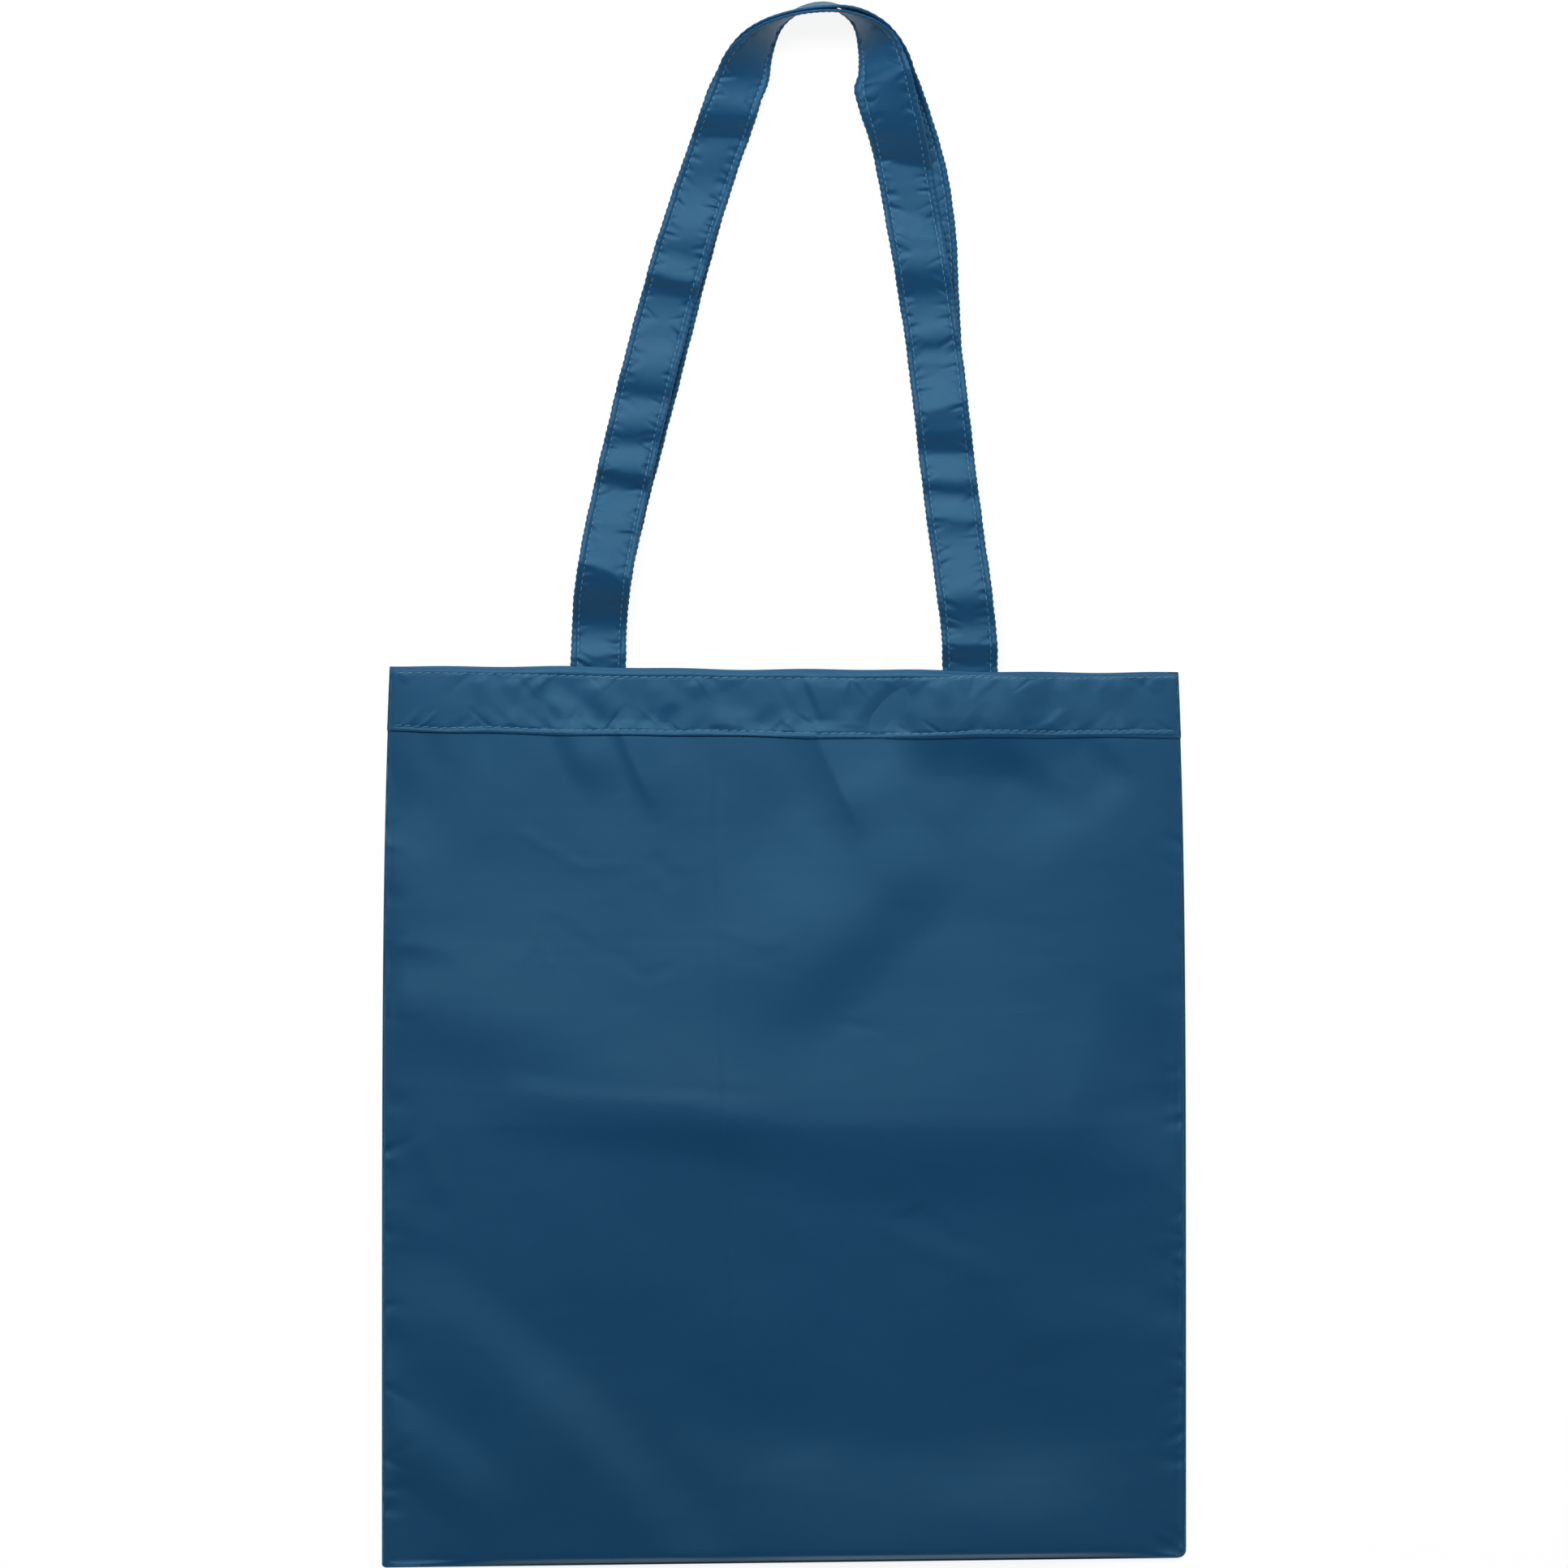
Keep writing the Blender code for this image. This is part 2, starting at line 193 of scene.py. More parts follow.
# Edges that are rolled or turned under: the angle, and how far the cloth is tucked back
ROLLED_UNDER = ((60, 0), (30, 0), (0, 0), (-30, 0), (-60, 0), (-90, 0), (-90, 4))
HEM_EDGE_TURN = ((180, 3), (180, 0), (140, 0), (100, 0), (60, 0), (30, 0))
MOUTH_TURN = ((30, 0), (60, 0), (90, 0), (120, 0), (150, 0), (180, 0), (180, 3))
BACK_MOUTH_TURN = ((60, 0), (120, 0), (180, 0))


def table(kind, *rows):
    """Named rows from plain ones."""
    return tuple(kind(*row) for row in rows)


# A fold runs along a path, given as x and y in turn. Its crest is so high (a valley is negative), it
# reaches so far to the left and right of its direction, it fades in and out over so much of its ends,
# and its crest is round unless it is sharp.
SHARP = True
Fold = namedtuple("Fold", "path height left right fade_in fade_out sharp", defaults=(0, 0, False))

# The large folds of the front panel
LARGE_FOLDS = table(
    Fold,
    # the ridge across the middle, in a left and a right part, with a brighter crest on the left
    ((-165, -139, -102, -147, -41, -151, -2, -156, 40, -163), 1.5, 60, 32, 80, 60),
    ((-20, -154, 16, -158, 52, -161, 128, -161, 163, -157, 188, -149), 2.2, 66, 44, 60, 40),
    ((-140, -144, -102, -150, -41, -154, -2, -159), 0.46, 11, 24, 20, 30),
    # the ridge that runs in from the left side above it
    ((-200, -101, -156, -107, -102, -112, -37, -118), 2.0, 42, 34, 0, 120),
    # the slanting step below the middle of the hem
    ((70, -18, 50, -42, 16, -78, -36, -130), 3.0, 36, 60, 34, 84),
    # the diagonal at the lower left and the fan beside it
    ((-205, -222, -162, -254, -122, -292, -94, -325), 3.3, 30, 36, 150, 50),
    ((-128, -284, -94, -325, -65, -358, -40, -392), 3.3, 35, 100, 50, 10),
    ((-205, -300, -163, -326, -128, -358), 1.1, 24, 20, 0, 40),
    ((-205, -345, -170, -385), -1.6, 50, 50),
    # the long swell above the foot
    ((-70, -364, 52, -371, 190, -363), 4.8, 64, 140, 110, 80),
    ((29, -202, 71, -221, 121, -240), 0.18, 10, 10, 25, 25),
    # a low dip across the middle of the lower half
    ((-60, -290, -20, -308, 30, -312), -0.5, 26, 26, 20, 20),
    ((100, -262, 140, -255, 192, -262), 0.5, 26, 20, 20, 10),
    # the dent by the right side
    ((200, -154, 176, -153, 136, -148), -2.0, 34, 66, 0, 26),
    # the high place over the right handle, across the hem's edge
    ((46, 30, 84, 33, 130, 30), 4.2, 60, 33, 28, 28),
)

# Folds that hang from the stitched line of the hem
HEM_FOLDS = table(
    Fold,
    ((-79, 27, -70, 6, -58, -20), 1.7, 34, 8, 0, 30, SHARP),
    ((-101, 27, -94, 12, -84, -8), 1.8, 24, 13, 0, 26), ((-141, 28, -141, 3), -0.4, 6, 6, 0, 20),
    ((14, 26, 25, 2, 40, -30), 3.1, 36, 22, 0, 30, SHARP),
    ((20, -10, 46, -9, 74, 2), 1.0, 26, 44, 28, 34), ((-70, 28, -60, 4), 0.7, 16, 14, 0, 24),
    ((-14, 28, -8, -20), 0.7, 20, 22, 0, 34), ((84, 12, 110, 0, 142, -26), -1.2, 17, 46, 26, 30),
    ((126, 26, 142, 12, 166, -8), -0.9, 14, 44, 18, 20), ((142, 28, 164, -8), -0.4, 8, 10, 0, 24),
    ((-172, 26, -160, -2), -0.5, 10, 12, 0, 20),
)

# The larger puckers within the hem
HEM_PUCKERS = table(
    Fold,
    # slanting pulls from row to row
    ((10, 54, 16, 40, 21, 26), 0.7, 12, 5, 8, 10), ((0, 52, 13, 24), 0.35, 8, 6, 10, 8),
    ((36, 20, 50, 36, 66, 50), -0.8, 11, 12, 12, 14), ((108, 52, 120, 24), 0.55, 12, 6, 10, 10),
    ((-112, 44, -97, 24), 0.4, 10, 6, 8, 8), ((-96, 50, -76, 28), 0.4, 11, 9, 10, 10),
    ((-114, 54, -98, 34), -0.3, 9, 9, 8, 10), ((130, 52, 146, 26), 0.3, 11, 8, 10, 10),
    ((-30, 50, -16, 30), -0.3, 10, 12, 8, 8), ((-64, 50, -52, 32), 0.3, 11, 9, 8, 8),
    # swellings below the upper row
    ((-144, 52, -141, 36), 0.38, 8, 8, 4, 12), ((-130, 51, -126, 36), 0.34, 7, 7, 4, 12),
    ((-117, 51, -114, 38), 0.36, 7, 7, 4, 10), ((-89, 50, -85, 30), 0.45, 9, 9, 5, 15),
    ((-43, 50, -40, 38), 0.38, 7, 7, 4, 9), ((10, 48, 24, 44, 40, 46), 0.42, 7, 14, 12, 12),
    ((73, 50, 78, 34), 0.45, 8, 8, 4, 12), ((118, 50, 122, 34), 0.34, 8, 8, 4, 12),
    ((146, 48, 168, 44), 0.34, 7, 12, 9, 9),
    # hollows and swellings above the lower row
    ((-56, 24, -51, 40), -0.5, 8, 8, 4, 12), ((-9, 24, -4, 40), -0.42, 7, 7, 4, 12),
    ((56, 23, 60, 38), -0.5, 7, 7, 4, 12), ((133, 24, 138, 34), -0.32, 6, 6, 3, 8),
    ((-40, 28, -28, 29, -16, 27), 0.38, 10, 4, 9, 9), ((1, 26, 7, 36), 0.34, 6, 6, 3, 8),
    ((14, 27, 30, 29, 44, 27), 0.38, 10, 4, 11, 11), ((-130, 26, -127, 38), 0.34, 6, 6, 3, 10),
    ((-94, 26, -91, 37), 0.34, 6, 6, 3, 9), ((-75, 26, -73, 36), 0.3, 6, 6, 3, 8),
    ((116, 27, 126, 29, 136, 27), 0.34, 9, 4, 8, 8),
)

# Pulls at the two side seams
SIDE_FOLDS = table(
    Fold,
    ((-200, -10, -176, -11, -144, -16), -2.0, 36, 32, 0, 46),
    ((-194, -52, -174, -56), -0.6, 7, 7, 0, 18),
    ((-194, -83, -167, -86, -146, -92), -0.9, 10, 20, 0, 40),
    ((-194, -149, -172, -152), -0.7, 8, 8, 0, 20),
    ((-177, -163, -167, -182, -160, -202), 0.4, 12, 10, 10, 14),
    ((-194, -222, -163, -228, -140, -236), -0.6, 16, 40, 0, 40),
    ((-194, -186, -176, -192), -0.7, 9, 14, 0, 18), ((-194, -262, -172, -272), -0.9, 12, 20, 0, 20),
    ((194, -96, 174, -100), -0.7, 9, 9, 0, 18), ((194, -150, 150, -152), -0.5, 12, 12, 0, 34),
    ((194, -250, 168, -246), -0.7, 12, 12, 0, 24), ((194, -290, 170, -296), -0.6, 9, 9, 0, 22),
)

# Fine creases that were pressed in when the bag was packed
PRESSED_CREASES = table(
    Fold,
    ((-33, 23, -29, -109, -25, -244, -21, -366), -0.45, 2.6, 2.2, 20, 20, SHARP),
    ((-75, -54, 29, -54), -0.035, 1.6, 1.6, 15, 15, SHARP),
    ((44, -40, 109, -40), -0.035, 1.6, 1.6, 15, 15, SHARP),
    ((17, -123, 140, -104, 159, -102), 0.05, 1.8, 1.8, 15, 15, SHARP),
    ((-129, -135, -71, -138, -64, -132), 0.04, 1.6, 1.6, 15, 15, SHARP),
    ((-133, -167, -117, -165), -0.05, 1.4, 1.4, 6, 6, SHARP),
    ((-110, -34, -89, -34), -0.06, 1.4, 1.4, 6, 6, SHARP),
    ((-130, -20, -95, -40, -70, -38), 0.12, 5, 5, 10, 10), ((-118, -60, -84, -82), -0.1, 5, 6, 8, 8),
    ((-84, -76, -66, -92, -48, -84), -0.1, 5, 6, 8, 8), ((-64, -32, -48, -50), -0.16, 7, 6, 6, 6),
    ((-42, -66, -10, -76, 8, -72), 0.1, 6, 5, 10, 10),
    ((-26, -82, 12, -90), -0.08, 2.5, 2.5, 8, 8, SHARP), ((20, -112, 52, -118), -0.1, 4, 4, 8, 8),
    ((44, -206, 66, -196, 88, -214), 0.14, 6, 6, 8, 8),
    ((-128, -88, -118, -72, -108, -92), 0.12, 5, 5, 6, 6),
    ((96, -62, 128, -70, 150, -62), -0.06, 6, 7, 10, 10),
)

# The slope of the front handle's face down each leg, in degrees, positive where it faces away from
# the bag. A line of equal slope runs from a y at the leg's left edge to so much more at its right edge.
Slope = namedtuple("Slope", "y degrees slant", defaults=(0,))
LEFT_LEG = table(
    Slope,
    (352, 0, -2), (341, -2, -2), (334, 15, -4), (326, 18, -3), (318, 0, -1), (312, -24, -1),
    (308, -20, -1), (306, 5, -1), (300, 8, 2), (290, 4, 2), (278, 13, 2), (270, 17, -2), (262, 12),
    (256, 1, -7), (250, 17, -7), (244, 14, -5), (242, 4, -6), (240, -30, -7), (236, -16, -6),
    (231, 2, -2), (222, 16), (212, 12, 2), (206, 20), (198, 11), (194, 3, -4), (188, -10, -4),
    (182, 14, -2), (176, 15), (170, 4, 1), (165, -12, -1), (161, 0), (158, 15, -1), (153, 12),
    (150, -4, -4), (148, -32, -6), (144, -10, -5), (140, 6, -3), (133, 16, 1), (127, 16, 1),
    (124, 4, -6), (118, 15, -4), (112, 22, -5), (108, 14, -10), (105, -12, -9), (97, -24, -7),
    (88, -34, -4), (81, -30), (76, -14, 1), (71, -2, 1), (67, 6, 1), (65, 16, 1), (60, 14),
)
RIGHT_LEG = table(
    Slope,
    (352, -4, -2), (336, -8, 10), (333, 20, 9), (330, 12, 8), (328, -6, 6), (321, -5), (312, -12, 2),
    (305, -26), (297, -26, -2), (291, -38, -9), (288, 10, -10), (284, 22, -10), (271, 24), (264, 18),
    (257, 5), (251, 10, 1), (245, 2, 1), (237, -16, -1), (231, -4), (226, 8), (213, 18, 8), (210, 6, 4),
    (208, -6), (203, 15, 1), (201, 18), (198, 8), (193, 17), (186, 18), (176, 15, 7), (173, -4, 8),
    (168, -8), (162, -28, -1), (158, -12, -1), (155, 10, -1), (150, 14), (146, 2, -1), (140, -22, -1),
    (137, -4, -1), (132, 13, 1), (128, 8, -1), (124, -8, -1), (118, 1), (112, 10, -1), (98, 14, 6),
    (92, 19, 6), (86, 2, 3), (81, -10, 1), (77, -4, 1), (73, 8, -1), (68, 11), (64, 0), (60, -6),
)

# The loop of the handles as in the solids: shares of half the spacing, of the rise and of the turn
HANDLE_ROUTE = (
    (-1, -HANDLE_TAIL / HANDLE_RISE, 0), (-1, 0, 0), (-0.962, 0.15, 0), (-0.775, 0.393, 0),
    (-0.539, 0.637, 0), (-0.268, 0.856, 0.12), (-0.15, 0.93, 0.5), (0, 0.974, 0.88),
    (0.194, 0.991, 1), (0.37, 0.978, 0.85), (0.5, 0.935, 0.45), (0.56, 0.862, 0.1),
    (0.64, 0.76, 0), (0.79, 0.515, 0), (0.895, 0.272, 0), (0.985, 0.08, 0), (1, 0, 0),
    (1, -HANDLE_TAIL / HANDLE_RISE, 0),
)

# Where the back handle lies beside the front one, as shares of the way, and how far inwards
BACK_HANDLE_SLIDES = ((0.24, 0.16, 2.4), (0.65, 0.12, -7.0))

# Soft lamps that face the middle of the bag: place and size in metres, power in watts
LAMPS = (
    ("key", (-0.3, 1.25, 1.65), (1.5, 1.0), 34.5),
    ("left", (-2.0, 0.4, 0.9), (1.2, 1.0), 1.2),
    ("right", (2.0, 0.2, 0.9), (1.2, 1.0), 5.0),
    ("front", (0.0, -2.0, 0.8), (1.6, 0.8), 3.5),
    ("top", (0.1, 0.9, 0.85), (0.8, 0.5), 3.0),
)

CLOTH_DARK = (0.0004, 0.0492, 0.144, 1.0)
CLOTH_LIGHT = (0.0008, 0.0532, 0.153, 1.0)
THREAD_COLOUR = (0.115, 0.27, 0.39, 1.0)
SATIN_TINT = (0.325, 0.69, 0.84, 1.0)
SHEEN_TINT = (0.28, 0.78, 1.0, 1.0)
SATIN_ROUGHNESS = 0.46
# The white that the camera and the cloth's gloss see, what shows the shadow on it, and the card that
# throws light on the bag
SEEN_WHITE = (0.9, 0.9, 0.9, 1.0)
SEEN_SHADE = (0.16, 0.16, 0.16, 1.0)
CARD_GREY = (0.4, 0.4, 0.4, 1.0)
WORLD_STRENGTH = 0.05
STUDIO_SIDES = 96

# In metres
CAMERA_DISTANCE = 6.0
FRAME_SIDE = 0.7425
STUDIO_RADIUS = 9.0
STUDIO_HEIGHT = 4.0
FLOOR_DROP = 0.0006


def ease(share):
    """A smooth step from 0 to 1."""
    share = np.clip(share, 0.0, 1.0)
    return share * share * (3.0 - 2.0 * share)


def hump(distance, reach):
    """A smooth bump, 1 at no distance and 0 from its reach on."""
    return 0.5 * (1.0 + np.cos(np.pi * np.clip(np.abs(distance) / reach, 0.0, 1.0)))


def crease(distance, reach):
    """A bump with a sharp crest and a smooth foot."""
    return (1.0 - np.clip(np.abs(distance) / reach, 0.0, 1.0)) ** 2


def needle_holes(distance, pitch):
    """A wave along a row of stitches: 1 at each hole and 0 halfway between two."""
    return 0.5 + 0.5 * np.cos(2 * np.pi * distance / pitch)


def fold_relief(x, y, folds):
    """The height in millimetres that folds add at places x, y."""
    total = np.zeros_like(x)
    for fold in folds:
        nearest = np.full(x.shape, 1e9)
        side = np.zeros_like(x)
        travelled = np.zeros_like(x)
        start = 0.0
        points = list(zip(fold.path[::2], fold.path[1::2]))
        for (x0, y0), (x1, y1) in zip(points, points[1:]):
            run_x, run_y = x1 - x0, y1 - y0
            run = math.hypot(run_x, run_y)
            share = np.clip(((x - x0) * run_x + (y - y0) * run_y) / run ** 2, 0.0, 1.0)
            distance = np.hypot(x - x0 - share * run_x, y - y0 - share * run_y)
            closer = distance < nearest
            nearest = np.where(closer, distance, nearest)
            side = np.where(closer, (run_x * (y - y0) - run_y * (x - x0)) / run, side)
            travelled = np.where(closer, start + share * run, travelled)
            start += run
        # past the ends the reach changes smoothly from one side to the other
        blend = ease(0.5 + 0.5 * side / np.maximum(nearest, 1e-6))
        reach = fold.right + (fold.left - fold.right) * blend
        profile = (crease if fold.sharp else hump)(nearest, reach)
        if fold.fade_in:
            profile = profile * ease(travelled / fold.fade_in)
        if fold.fade_out:
            profile = profile * ease((start - travelled) / fold.fade_out)
        total += fold.height * profile
    return total


def side_length(across):
    """The sleeve's length at a share across."""
    return MOUTH_Y - FOOT_Y - MOUTH_SLANT * across / 2 - FOOT_SLANT * (across + 1) / 2


def outline(across, along):
    """A place on the flat sleeve, in millimetres, from shares across (-1 to 1) and along (0 to 1)."""
    half_width = HALF_WIDTH - MOUTH_DRAW_IN * np.clip(along, 0, 1) ** MOUTH_DRAW_POWER
    y = FOOT_Y + FOOT_SLANT * (across + 1) / 2 + side_length(across) * along
    x = across * half_width
    trim = np.where(x > 0, RIGHT_CORNER_TRIM, LEFT_CORNER_TRIM)
    above_foot = np.clip(along * side_length(across) / trim, 0.0, 1.0)
    pulled = trim * (1.0 - np.sqrt(1.0 - (1.0 - above_foot) ** 2))
    x = x - np.sign(x) * pulled * ease((np.abs(x) - HALF_WIDTH + CORNER_REACH) / CORNER_REACH)
    waves = sum(height * np.sin(x / length + phase) for height, length, phase in MOUTH_WAVES)
    return x, y + waves * ease((along - 0.9) * 10.0)


def pillow(across, along):
    """The height of the front panel before its folds."""
    sides = np.clip(1.0 - np.abs(across) ** SIDE_POWER, 0.0, 1.0) ** SIDE_ROUNDNESS
    from_foot = np.clip(along / CROWN_SHARE, 0, 1)
    roll = 1.0 - (1.0 - from_foot) ** FOOT_ROLL_POWER
    from_foot = (1.0 - FOOT_ROLL) * from_foot + FOOT_ROLL * roll
    to_mouth = ease((along - CROWN_SHARE) / (1.0 - CROWN_SHARE))
    lift = np.where(along < CROWN_SHARE, (CROWN_HEIGHT - 2 * EDGE_ROLL) * from_foot,
                    CROWN_HEIGHT - 2 * EDGE_ROLL + (MOUTH_HEIGHT - CROWN_HEIGHT) * to_mouth)
    return 2 * EDGE_ROLL + lift * sides


def soft_crumple(x, y):
    """Faint uneven waves all over light cloth."""
    rng = np.random.default_rng(SEED + 1)
    total = np.zeros_like(x)
    for length, height in CRUMPLE_WAVES:
        for _ in range(WAVES_OF_EACH):
            angle = rng.uniform(0, np.pi)
            phase = rng.uniform(0, 2 * np.pi)
            stretch = rng.uniform(0.8, 1.25)
            wave = (x * np.cos(angle) + y * np.sin(angle)) * 2 * np.pi / (length * stretch)
            total += height * np.sin(wave + phase + 0.8 * np.sin(wave * 0.37 + phase * 2))
    return total


def seam_puckers(x, y, from_side):
    """Short pulls that run in from the side seams."""
    rng = np.random.default_rng(SEED + 4)
    total = np.zeros_like(x)
    for _ in range(SEAM_PUCKERS):
        side = rng.choice((-1, 1))
        place = rng.uniform(FOOT_Y, MOUTH_Y - HEM_DEPTH)
        strength, width = rng.uniform(-0.7, 0.3), rng.uniform(2.2, 5.0)
        length, lean = rng.uniform(5, 22), rng.uniform(-0.6, 0.6)
        on_side = np.sign(x) == side
        fade = np.clip(1.0 - from_side / length, 0.0, 1.0) * on_side
        total += strength * fade * hump(y - place + lean * from_side, width + 0.2 * from_side)
    return total


def edge_bead(inset):
    """A cloth edge that is folded and pressed: a narrow bead with a dip beside it."""
    return 0.2 * hump(inset - 1.3, 1.5) - 0.1 * hump(inset - 3.6, 1.9)


def panel_height(across, along):
    """The height of the front panel's upper face in millimetres, without the hem's second layer."""
    x, y = outline(across, along)
    length = side_length(across)
    below = (1.0 - along) * length
    from_side = HALF_WIDTH - np.abs(x)
    inset = np.minimum(from_side, along * length)
    out_of_hem = ease((below - HEM_DEPTH + UNDER_HEM_FADE) / UNDER_HEM_FADE)
    relief = fold_relief(x, y, LARGE_FOLDS) + fold_relief(x, y, HEM_FOLDS) * out_of_hem
    relief += soft_crumple(x, y)
    relief *= ease(from_side / SIDE_FADE) * ease(along * length / FOOT_FADE)
    relief += fold_relief(x, y, SIDE_FOLDS) * ease(inset / EDGE_FADE)
    relief += fold_relief(x, y, PRESSED_CREASES)
    relief += seam_puckers(x, y, from_side) * ease(inset / PUCKER_FADE)
    relief += edge_bead(from_side) + 0.5 * edge_bead(along * length) * ease(from_side / EDGE_FADE)
    relief -= HEM_TILT * (1.0 + TILT_TO_RIGHT * across) * np.maximum(HEM_DEPTH - below, 0.0)
    height = pillow(across, along) + relief
    # a soft floor over the back panel
    return FLOOR_GAP + np.logaddexp(0.0, (height - FLOOR_GAP) * FLOOR_HARDNESS) / FLOOR_HARDNESS


def line_at(line, x):
    """The y of a line along the hem."""
    return np.interp(x, line[::2], line[1::2])


def hem_pulls(x, off, pulls):
    """Seeded wedges that run off a row of stitches."""
    rng = np.random.default_rng(pulls.seed)
    relief = np.zeros_like(x)
    centres = np.linspace(-HALF_WIDTH, HALF_WIDTH, pulls.count)
    for centre in centres + rng.normal(0, 2.5, pulls.count):
        strength, width = rng.uniform(-1, 1), rng.uniform(2.0, 6.0)
        lean, length = rng.uniform(-1.3, 1.3), rng.uniform(0.4, 1.0) * PULL_REACH
        fade = np.clip(1.0 - off / length, 0.0, 1.0) * ease((off + 0.3) / 1.2)
        relief += strength * fade * hump(x - centre - lean * off, width)
    return pulls.strength * relief


def hem_height(across, below):
    """The height of the hem's upper face: stitched rows, puckers beside them and a rolled mouth."""
    along = 1.0 - below / side_length(across)
    x, y = outline(across, along)
    holes = needle_holes(x, HEM_PITCH)
    under_mouth_row = line_at(ROW_BY_MOUTH, x) - y
    under_edge_row = line_at(ROW_BY_EDGE, x) - y
    relief = PUCKER_GAIN * fold_relief(x, y, HEM_PUCKERS)
    # each row lies in a groove, deeper at the holes, and the cloth swells beside it
    for off in (under_mouth_row, under_edge_row):
        relief -= 0.1 * hump(off, 1.0) + 0.1 * holes * hump(off, 1.2)
    relief += hem_pulls(x, under_mouth_row, MOUTH_ROW_PULLS)
    relief += hem_pulls(x, -under_edge_row, EDGE_ROW_PULLS)
    relief += (0.16 + 0.22 * (1 - holes)) * hump(under_edge_row - 1.5, 1.3)
    relief += 0.08 * (1 - holes) * hump(under_mouth_row + 1.3, 1.2)
    from_side = HALF_WIDTH - MOUTH_DRAW_IN * along ** MOUTH_DRAW_POWER - np.abs(x)
    relief *= ease(from_side / EDGE_FADE)
    relief -= MOUTH_ROLL * np.clip(1.0 - below / MOUTH_ROLL_REACH, 0.0, 1.0) ** 2
    return panel_height(across, along) + HEM_LIP + relief


def spaced(length, low_margin, high_margin):
    """Places from 0 to a length, fine within both margins and coarse between them."""
    low = np.arange(0.0, low_margin, FINE_STEP)
    high = length - np.arange(0.0, high_margin, FINE_STEP)[::-1]
    steps = int(math.ceil((length - low_margin - high_margin) / COARSE_STEP))
    return np.concatenate((low, np.linspace(low_margin, length - high_margin, steps), high))


def add_object(name, data):
    """A new object in the scene."""
    made = bpy.data.objects.new(name, data)
    bpy.context.scene.collection.objects.link(made)
    return made


class Surface:
    """Points and faces of one mesh, gathered row by row."""

    def __init__(self):
        self.points = []
        self.faces = []
        self.count = 0

    def add(self, points):
        """Add points and give back their numbers in the same arrangement."""
        points = np.asarray(points, dtype=float)
        numbers = np.arange(self.count, self.count + points[..., 0].size).reshape(points.shape[:-1])
        self.points.append(points.reshape(-1, 3))
        self.count += numbers.size
        return numbers

    def skin(self, rows):
        """Join rows of point numbers with quads."""
        rows = np.asarray(rows)
        quads = np.stack((rows[:-1, :-1], rows[:-1, 1:], rows[1:, 1:], rows[1:, :-1]), axis=-1)
        self.faces += quads.reshape(-1, 4).tolist()

    def piece(self, name, material, slot_name):
        """A smooth mesh piece in metres that rides on the bag."""
        mesh = bpy.data.meshes.new(name)
        mesh.from_pydata((np.concatenate(self.points) * MM).tolist(), [], self.faces)
        mesh.update()
        mesh.shade_smooth()
        mesh.materials.append(material)
        made = add_object(name, mesh)
        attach(made, "root")
        return made


def unit(vectors):
    """Vectors at length 1."""
    return vectors / np.linalg.norm(vectors, axis=1, keepdims=True)


def outward_of(points):
    """Flat directions square to a chain of points, pointing to its right."""
    tangent = np.gradient(points[:, :2], axis=0)
    return unit(np.stack((tangent[:, 1], -tangent[:, 0]), axis=-1))


def roll_under(surface, numbers, reach, floor, outward=None):
    """Roll an edge of a surface down to a floor and a little way back under itself."""
    base = np.concatenate(surface.points)[numbers]
    outward = outward_of(base) if outward is None else np.array(outward)
    rows = [numbers]
    for degrees, tuck in ROLLED_UNDER:
        angle = math.radians(degrees)
        ring = base.copy()
        ring[:, :2] += outward * (reach * math.cos(angle) - tuck)
        ring[:, 2] = floor + (base[:, 2] - floor) * (1 + math.sin(angle)) / 2
        rows.append(surface.add(ring))
    surface.skin(rows)


def sheet_points(x, y, z, inset):
    """Points of a sheet whose sides are drawn in by an inset."""
    return np.stack((x * (1.0 - inset / HALF_WIDTH), y, z), axis=-1)


def turn_over(surface, edge, steps, reach, drop, way=1.0):
    """Rows that turn an edge over towards the mouth, or away from it, and down to its underside."""
    rows = []
    for degrees, tuck in steps:
        angle = math.radians(degrees)
        row = edge.copy()
        row[:, 1] += way * (reach * math.sin(angle) - tuck)
        row[:, 2] = np.maximum(row[:, 2] - drop * (1 - math.cos(angle)) / 2, LOWEST)
        rows.append(surface.add(row))
    return rows


def build_front_panel(material):
    """The front panel up to the mouth, its sides and foot rolled under."""
    surface = Surface()
    length = side_length(-1.0)
    acrosses = spaced(BODY_WIDTH, FINE_MARGIN, FINE_MARGIN) / HALF_WIDTH - 1.0
    alongs = spaced(length - HEM_DEPTH, FINE_MARGIN, 0.0) / length
    alongs = np.concatenate((alongs, 1.0 - np.linspace(HEM_DEPTH - 1.0, 2.5, 22) / length))
    across, along = np.meshgrid(acrosses, alongs)
    x, y = outline(across, along)
    y = y + EDGE_ROLL * (1.0 - along)
    numbers = surface.add(sheet_points(x, y, panel_height(across, along), EDGE_ROLL))
    surface.skin(numbers)
    edge = np.concatenate((numbers[::-1, 0], numbers[0, 1:-1], numbers[:, -1]))
    roll_under(surface, edge, EDGE_ROLL, 0.06)
    piece = surface.piece("bag_front", material, "bag_cloth")
    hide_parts("bag_body")
    return piece


